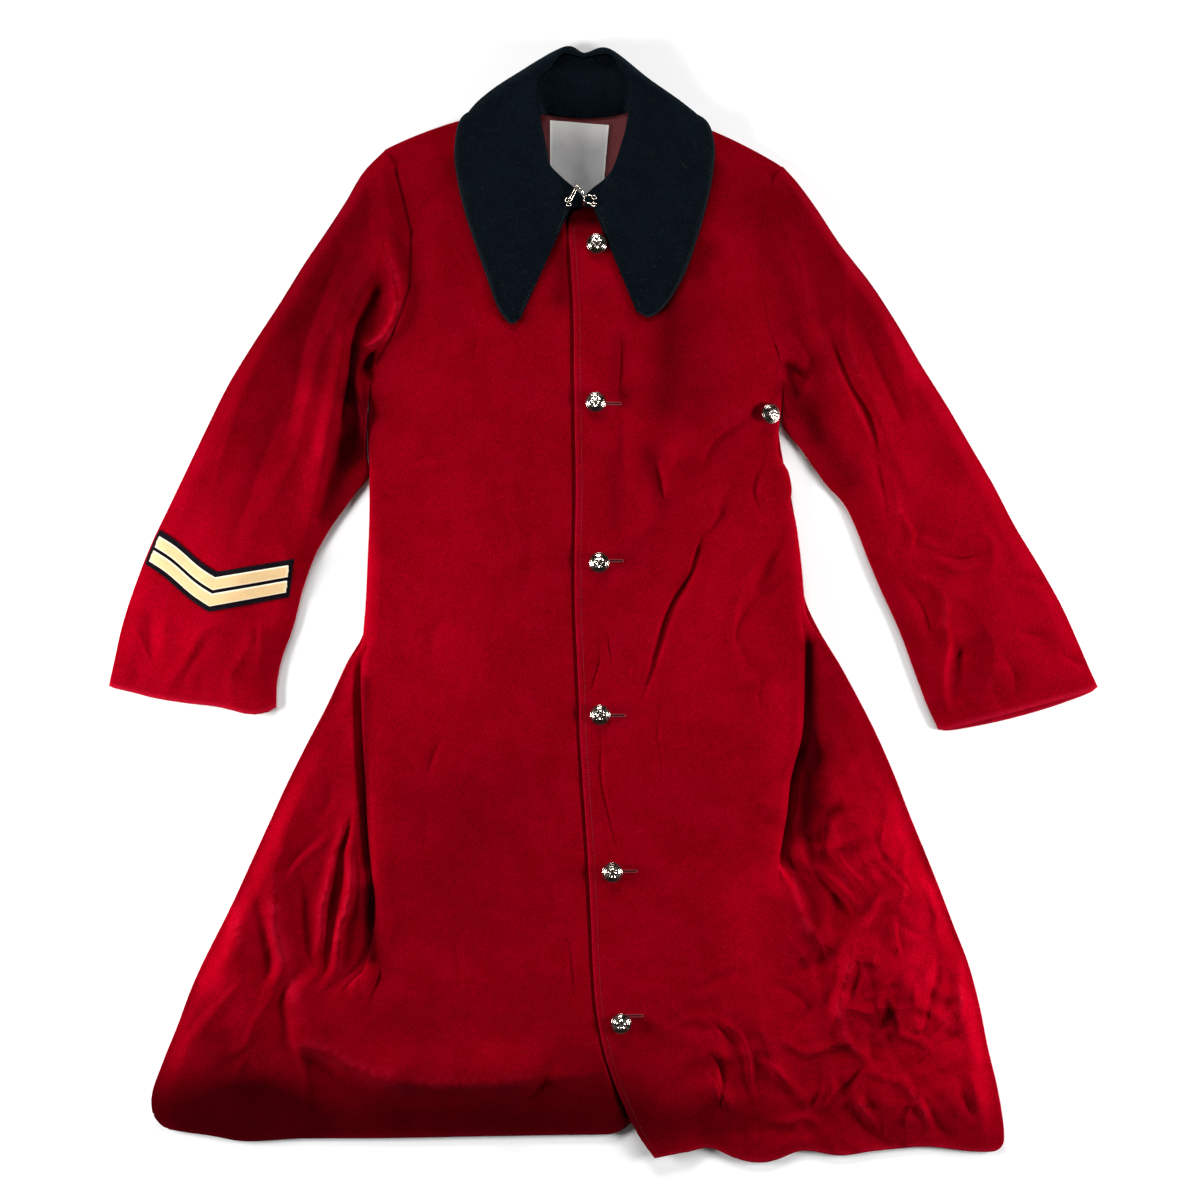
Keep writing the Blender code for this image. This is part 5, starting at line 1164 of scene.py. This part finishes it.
def hole_ring(x0, x1, y, rope=0.6, stitch=1.1, stations=240, sides=8):
    """Thread worked round a slit: a tube along two straight sides and two half circles, pinched at every stitch."""
    r = HOLE_WIDE / 2
    straight, arc = x1 - x0 - HOLE_WIDE, math.pi * r
    s = np.linspace(0, 1, stations + 1)[:-1] * 2 * (straight + arc)
    a1, a2 = np.clip((s - straight) / r, 0, math.pi), np.clip((s - 2 * straight - arc) / r, 0, math.pi)
    px = np.clip(s, 0, straight) - np.clip(s - straight - arc, 0, straight) - straight / 2
    px += r * (np.sin(a1) - np.sin(a2)) + (x0 + x1) / 2
    path = np.stack([px, y + r * np.where(s < straight + arc, -np.cos(a1), np.cos(a2))], axis=1)
    ahead = unit(np.roll(path, -1, axis=0) - np.roll(path, 1, axis=0))
    out = np.stack([ahead[:, 1], -ahead[:, 0]], axis=1)
    pinched = rope * (0.72 + 0.28 * np.abs(np.sin(np.pi * s / stitch)))[:, None]
    a = np.linspace(0, 2 * np.pi, sides + 1)[None, :-1]
    ring = np.empty((stations, sides, 3))
    ring[..., :2] = path[:, None] + out[:, None] * (pinched * 1.15 * np.cos(a))[..., None]
    ring[..., 2] = (height(*path.T) + MELTON / 2 + 0.2)[:, None] + pinched * 0.7 * np.sin(a)
    return ring


rings = np.array([hole_ring(*hole) for hole in HOLES])
numbers = np.arange(rings[..., 0].size).reshape(rings.shape[:3])
faces = [face for ring in numbers for face in quads(np.concatenate([ring, ring[:1]]), ring=True).tolist()]
piece = add_mesh("buttonholes", rings.reshape(-1, 3), faces, hole_thread, sharp=180)
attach(piece, "root")

slits = np.empty((len(HOLES), 14, 2, 3))
for slit, (x0, x1, y) in zip(slits, HOLES):
    slit[..., 0] = np.linspace(x0 + 1.5, x1 - 1.5, 14)[:, None]
    slit[..., 1] = y + np.array([-0.5, 0.5]) * SLIT_WIDE
    slit[..., 2] = height(slit[..., 0], y + 0 * slit[..., 0]) + MELTON / 2 + 0.12
numbers = np.arange(slits[..., 0].size).reshape(slits.shape[:3])
faces = np.concatenate([quads(slit) for slit in numbers])
piece = add_mesh("buttonhole_slits", slits.reshape(-1, 3), faces.tolist(), slit_shadow)
if piece.data.polygons[0].normal.z < 0:
    piece.data.flip_normals()
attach(piece, "root")


# The buttons are stamped metal domes, silver plated and a little tarnished in
# their hollows, with a beaded rim. Each hangs on its shank through its hole.
BUTTON_ACROSS, BUTTON_RISE, DOME_FOOT = 23.0, 7.0, 3.0
# How far each front one is lifted off the cloth at its seat, and the side one's tilt.
BUTTON_LIFTS = (-0.7, -0.2, -0.1, -0.3, 0.1, -0.1)
SIDE_BUTTON_TILT = math.radians(24)


def silver_plate():
    """Polished plate with a warm cast, duller and browner where the mesh says: tarnish where polish doesn't reach,
    and on the buttons painted shade on their lower side.
    """
    made, tree, shader = new_material("silver_plate")
    place = add_node(tree, "ShaderNodeTexCoord").outputs["Object"]
    patchy_darkening = noise(tree, place, 350.0, 4.0, 0.6)["Fac"]
    scratches = noise(tree, place, 1800.0, 3.0, 0.7)["Fac"]
    darkening = maths(tree, "MULTIPLY", carried(tree, "wear_and_painted_light"), grey_ramp(tree, patchy_darkening, 0.4, 0.7, 0.8, 1.0))
    look = {
        "Base Color": tint(tree, (0.95, 0.83, 0.71, 1), (0.030, 0.019, 0.012, 1), darkening),
        "Roughness": grey_ramp(tree, scratches, 0.3, 0.8, 0.10, 0.28),
        "Metallic": 1.0,
        "Normal": bump(tree, 0.15, 0.0002, patchy_darkening),
    }
    connect(tree, shader, look)
    return made


silver = silver_plate()


def domed_button(name, node, xy, lift, tilt, turn):
    """A turned profile of radius and height: shank, back, rolled rim, then a dome stamped with a plain twelve-leaf
    rosette inside a ring of beads, each a cosine round the button times a bell along its radius."""
    full = BUTTON_ACROSS / 2
    back_r = np.array([0.0, 2.6, 2.6, 3.4, 8.0, full - 0.8, full - 0.1, full, full - 0.15, full - 0.7, full - 1.2])
    back_z = np.array([0.0, 0.0, 1.0, 1.4, 1.5, 1.7, 2.2, 2.7, 3.2, 3.45, 3.3])
    dome_r = np.linspace(full - 1.4, 0, 46)
    dome_z = DOME_FOOT + (BUTTON_RISE - DOME_FOOT) * np.sqrt(np.clip(1 - (dome_r / (full - 1.0)) ** 2, 0, 1)) ** 0.9
    a = np.linspace(0, 2 * np.pi, 97)[None, :-1] + turn
    r = np.concatenate([back_r, dome_r])[:, None] + 0 * a
    z = np.concatenate([back_z, dome_z])[:, None] + 0 * a
    part = r / full
    on_dome = (np.arange(len(r)) >= len(back_r))[:, None]
    leaves = bell(part - 0.42, 0.17) * (0.50 * np.cos(6 * a) ** 2 + 0.30 * np.cos(12 * a + 1.5))
    boss = 0.6 * bell(part, 0.13)
    beads = 0.30 * bell(part - 0.80, 0.05) * np.abs(np.cos(16 * a)) ** 0.7
    groove = -0.25 * bell(part - 0.69, 0.035) - 0.3 * bell(part - 0.215, 0.035)
    z = z + on_dome * (leaves + boss + beads + groove)
    # Tarnish lies in patches and in the stamping's hollows; the darker lower side, away from the light, is
    # painted shade.
    x, y = r * np.cos(a), r * np.sin(a)
    patchy_darkening = ease((ripple(x + 97, y, 3.6, turn, 61) + 0.02) / 0.3) + ease((-y / full - 0.42) / 0.2)
    tarnish_and_shade = 0.35 - 1.2 * (leaves + beads + boss) - 1.6 * groove + 0.9 * patchy_darkening
    tarnish_and_shade = np.where(on_dome, np.clip(tarnish_and_shade, 0, 1), 0.8)
    x, z = x * math.cos(tilt) + z * math.sin(tilt), z * math.cos(tilt) - x * math.sin(tilt)
    seats = [(xy[0] + q * math.cos(b), xy[1] + q * math.sin(b)) for q in (0, 3, 7, full) for b in np.linspace(0, 6, 7)]
    seat = max(smooth_height(p) - (0 if math.dist(p, xy) < 4 else 1.2) for p in seats)
    points = np.stack([x, y, z], axis=2) + (xy[0], xy[1], seat + MELTON / 2 + SEAM + lift)
    rows, cols = points.shape[:2]
    numbers = np.arange((rows - 2) * cols).reshape(rows - 2, cols)
    faces = quads(numbers, ring=True).tolist()
    first, last = numbers[0], numbers[-1]
    faces += [[numbers.size, after, at] for at, after in zip(first.tolist(), np.roll(first, -1).tolist())]
    faces += [[numbers.size + 1, at, after] for at, after in zip(last.tolist(), np.roll(last, -1).tolist())]
    points = np.concatenate([points[1:-1].reshape(-1, 3), points[0, :1], points[-1, :1]])
    wear_and_painted_light = np.concatenate([tarnish_and_shade[1:-1].ravel(), [0.5, 0.0]])
    piece = add_mesh(name, points, faces, silver, wear_and_painted_light=wear_and_painted_light, sharp=60)
    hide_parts(node)
    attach(piece, "root")


for k, (seat, lift) in enumerate(zip(BUTTON_SEATS, BUTTON_LIFTS), 1):
    domed_button(f"front_button_{k}", f"button_{k}", seat, lift, 0.0, 0.31 * k)
domed_button("stray_button", "side_button", BUTTON_SEATS[-1], -0.2, SIDE_BUTTON_TILT, 0.5)


# A hook and eye of silvered wire close the neck. Each has two small loops that
# are sewn down to the collar's ends, and lies on the felt there.
def wire(name, node, runs, radius):
    """Round wire along each run of points: a circle carried along the smoothed path, square to the way ahead."""
    points, faces = [], []
    for run in runs:
        path = between(np.array(run, float), np.linspace(0, len(run) - 1, 10 * (len(run) - 1) + 1))
        ahead = unit(np.gradient(path, axis=0))
        side = unit(np.cross(ahead, (0.13, 0.21, 1.0)))
        up = np.cross(side, ahead)
        a = np.linspace(0, 2 * np.pi, 13)[None, :-1, None]
        thin = np.full((len(path), 1, 1), radius)
        thin[[0, -1]] *= 0.55
        tube = path[:, None] + thin * (side[:, None] * np.cos(a) + up[:, None] * np.sin(a))
        numbers = 12 * sum(map(len, points)) + np.arange(tube.shape[0] * 12).reshape(-1, 12)
        faces += quads(numbers, ring=True).tolist() + [numbers[0][::-1].tolist(), numbers[-1].tolist()]
        points.append(tube)
    points = np.concatenate(points).reshape(-1, 3)
    piece = add_mesh(name, points, faces, silver, wear_and_painted_light=np.full(len(points), 0.25), sharp=60)
    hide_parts(node)
    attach(piece, "root")


def small_loop(x, y, radius, lift, way=1):
    """Points of an open loop of wire in the plane of the felt."""
    return [(x + radius * math.cos(a), y + radius * math.sin(a), lift) for a in np.linspace(0.4, 6.0, 9)[::way]]


def lifted(lift, *points):
    """Points in the plan with their heights above the felt, raised to where the wire lies."""
    return [(x, y, lift + more) for x, y, more in points]


hook_z = float(leaf[0, 0, 2]) + FELT / 2 + 0.6
hook_runs = (
    small_loop(-41, 456, 2.4, hook_z)
    + lifted(hook_z, (-38.5, 460, 0), (-35, 467, 0.6), (-31.5, 473.5, 1.5))
    + lifted(hook_z, (-27, 472.5, 2.4), (-24, 469, 2.6), (-23.4, 463.5, 2.4)),
    small_loop(-43, 460.5, 2.2, hook_z + 0.7)
    + lifted(hook_z, (-40.5, 463, 0.8), (-37, 469, 1.4), (-33.5, 475, 2.3), (-29, 475.5, 3.2)),
)
wire("neck_hook", "hook", hook_runs, 0.72)
eye_run = (
    small_loop(-12, 463.5, 2.2, hook_z + 0.9, -1)
    + lifted(hook_z, (-15, 465.5, 0.9), (-20, 465.5, 0.7), (-23.5, 462, 0.6), (-21, 458, 0.7), (-16, 456.5, 0.9))
    + small_loop(-12, 455.5, 2.2, hook_z + 1.0)
)
wire("neck_eye", "eye", (eye_run,), 0.62)


# The badge of rank on the right forearm is two chevrons of pale gold lace sewn
# side by side on dark cloth, which stands out round them as a fuzzy border.
# Its point, and the inner and outer ends of its upper edge; then its two lower
# ends and lower point, which give the slant of the cut ends and of the mitre.
CHEVRON_UPPER = np.array([(-444, 34), (-357, 49), (-513, 83)], float)
CHEVRON_LOWER = np.array([(-453, -11), (-363, 6), (-528, 44)], float)
CHEVRON_BORDER, CHEVRON_BAR, CHEVRON_GAP = 6.2, 13.2, 5.0
CHEVRON_DEPTH = 2 * (CHEVRON_BORDER + CHEVRON_BAR) + CHEVRON_GAP
BADGE_CLOTH, LACE = 0.9, 0.9
badge_armhole = RIGHT_FRONT[:ARMHOLE_ROWS, 2:4]


def on_sleeve(plan):
    """The (s, t) of plan points on the right sleeve, by a few steps of Newton's method on all of them at once."""
    s, t, step = np.full(plan.shape[:2], 0.5), np.full(plan.shape[:2], 0.7), 1e-4
    for _ in range(14):
        here = sleeve_plan(RIGHT_SLEEVE, badge_armhole, s, t)
        ds = (sleeve_plan(RIGHT_SLEEVE, badge_armhole, s + step, t) - here) / step
        dt = (sleeve_plan(RIGHT_SLEEVE, badge_armhole, s, t + step) - here) / step
        gap = plan - here
        area = ds[..., 0] * dt[..., 1] - ds[..., 1] * dt[..., 0]
        s = np.clip(s + (gap[..., 0] * dt[..., 1] - gap[..., 1] * dt[..., 0]) / area, 0.004, 0.996)
        t = np.clip(t + (ds[..., 0] * gap[..., 1] - ds[..., 1] * gap[..., 0]) / area, 0.004, 0.996)
    return s, t


def chevron_plan(near, far, steps=45, rows=13, trim=0.0, ragged=0.0):
    """Plan grid of one chevron between two depths below its upper edge: both arms run straight from the mitre to their
    ends, which lie on the straight lines between the upper and lower corners, cut short by trim."""
    bands = []
    t = np.linspace(0, 1, steps + 1)[:, None]
    sag = np.array([0.35, 1.0]) * 1.3 * np.sin(2 * np.pi * t)
    for k, part in enumerate(np.linspace(near, far, rows) / CHEVRON_DEPTH):
        tip, inner, outer = CHEVRON_UPPER + (CHEVRON_LOWER - CHEVRON_UPPER) * part
        short = trim + ragged * (np.sin(7.1 * k) + np.sin(3.3 * k + 1))
        outer, inner = (end - unit(end - tip) * short for end in (outer, inner))
        bands.append(np.concatenate([outer + (tip - outer) * t + sag, (tip + (inner - tip) * t)[1:]]))
    return np.array(bands)


def sleeve_strip(name, node, plan, lift, thick, material, dent=0.0, wear_and_painted_light=0.0):
    """A strip that lies on the sleeve: the sleeve's own surface under the plan, moved out along its normal."""
    middle = sleeve_upper(RIGHT_SLEEVE, badge_armhole, *on_sleeve(plan))
    up = grid_normals(middle)
    up *= np.sign(up[..., 2:3])
    middle = middle + up * np.expand_dims(MELTON / 2 + lift + thick / 2 - np.asarray(dent), -1)
    piece = cloth_shell(name, middle, thick, material, wear_and_painted_light=wear_and_painted_light)
    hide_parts(node)
    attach(piece, "root")
    return piece, middle


gold_lace = twill(
    "gold_lace", (0.66, 0.43, 0.19, 1), (0.96, 0.70, 0.37, 1), 420.0, 0, 0.6, 0.03, 0.9, (1.0, 0.93, 0.78, 1)
)
backing_cloth = woollen(
    "backing_cloth", (0.006, 0.0045, 0.007, 1), (0.009, 0.006, 0.010, 1), (0.016, 0.010, 0.014, 1),
    (0.07, 0.05, 0.06, 1), fuzz=0.8, sheen=0.05, sheen_tint=(0.5, 0.4, 0.5, 1)
)
backing_plan = chevron_plan(0.0, CHEVRON_DEPTH, rows=25)
backing, backing_middle = sleeve_strip(
    "badge_backing", "chevron_backing", backing_plan, SEAM, BADGE_CLOTH, backing_cloth
)
for k, (name, node) in enumerate((("upper_lace_bar", "chevron_upper_bar"), ("lower_lace_bar", "chevron_lower_bar"))):
    start = CHEVRON_BORDER + k * (CHEVRON_BAR + CHEVRON_GAP)
    plan = chevron_plan(start, start + CHEVRON_BAR, trim=4.6, ragged=0.35)
    across, along = np.indices(plan.shape[:2])
    mitre = 0.45 * bell(along - along.max() / 2, 0.8)
    # The lace is paler at its woven edges and cut ends; its upper edge, paler than the lower, is painted highlight.
    selvedge_and_painted_light = 0.9 * bell(across, 0.9) + 0.5 * bell(across.max() - across, 0.7)
    selvedge_and_painted_light += 0.6 * bell(along.max() - along, 0.8) + 0.3 * bell(along, 0.8)
    lift = SEAM + BADGE_CLOTH + 0.25
    selvedge_and_painted_light = np.clip(selvedge_and_painted_light, 0, 1)
    bar, _ = sleeve_strip(name, node, plan, lift, LACE, gold_lace, mitre, selvedge_and_painted_light)

# Loose ends of the backing's wool stand out over the red cloth all round.
sides = [backing_middle[0], backing_middle[:, -1], backing_middle[-1][::-1], backing_middle[:, 0][::-1]]
places, ahead = along_path(np.concatenate(sides), 0.42)
out = unit(np.cross(ahead, (0, 0, 1.0)))
middle = np.concatenate(sides).mean(axis=0)
outward = np.sign(np.median(np.einsum("ij,ij->i", out, places - middle)))
seeded = np.random.default_rng(40)
lean = out * outward + unit(ahead) * seeded.normal(0, 0.7, (len(places), 1)) + (0, 0, 0.1)
hair = np.array([(0, 0.09, 0), (0, -0.05, 0.08), (0, -0.05, -0.08), (1.0, 0, -0.15)])
hairs = np.repeat(hair[None], len(places), axis=0)
hairs[..., 0] *= seeded.uniform(0.7, 2.0, (len(places), 1))
hair_faces = [(0, 1, 2), (0, 3, 1), (1, 3, 2), (2, 3, 0)]
fuzz = row_of_copies("badge_fuzz", hairs, hair_faces, places, lean, backing_cloth)
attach(fuzz, "root")


# Floor, light and camera. The cloak lies on a pale table, lit by a low window
# beyond the collar and by a small lamp low at each side.
floor = bpy.data.objects.new("floor", bpy.data.meshes.new("floor"))
floor.data.from_pydata([(-6, -6, 0), (6, -6, 0), (6, 6, 0), (-6, 6, 0)], [], [(0, 1, 2, 3)])
bpy.context.scene.collection.objects.link(floor)
pale, pale_tree, pale_shader = new_material("pale_table")
pale_look = {"Base Color": (0.95, 0.95, 0.95, 1), "Roughness": 0.9, "Specular IOR Level": 0.1}
connect(pale_tree, pale_shader, pale_look)
floor.data.materials.append(pale)
floor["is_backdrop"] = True

world = bpy.data.worlds.new("studio")
world.use_nodes = True
connect(world.node_tree, world.node_tree.nodes["Background"], {"Color": (1, 1, 1, 1), "Strength": 0.06})
bpy.context.scene.world = world


def softbox(name, place, size, power):
    """A white area light at place, aimed at the middle of the cloak."""
    lamp = bpy.data.lights.new(name, "AREA")
    lamp.shape, lamp.size, lamp.size_y, lamp.energy = "RECTANGLE", *size, power
    holder = bpy.data.objects.new(name, lamp)
    x, y, z = holder.location = place
    holder.rotation_euler = (math.atan2(math.hypot(x, y), z), 0, math.atan2(-x, y) + math.pi)
    bpy.context.scene.collection.objects.link(holder)


softbox("window", (-0.4, 4.2, 1.55), (2.4, 0.7), 215)
softbox("left_lamp", (-1.95, -0.15, 0.52), (0.9, 0.4), 78)
softbox("right_lamp", (1.95, -0.2, 0.52), (0.9, 0.4), 72)

bpy.context.scene.view_settings.view_transform = "Standard"
lens = bpy.data.cameras.new("camera")
lens.sensor_width, lens.lens = 36.0, 62.4
camera = bpy.data.objects.new("camera", lens)
camera.location = (-0.005175, 0.0055, 2.4)
bpy.context.scene.collection.objects.link(camera)
bpy.context.scene.camera = camera

low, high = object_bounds()
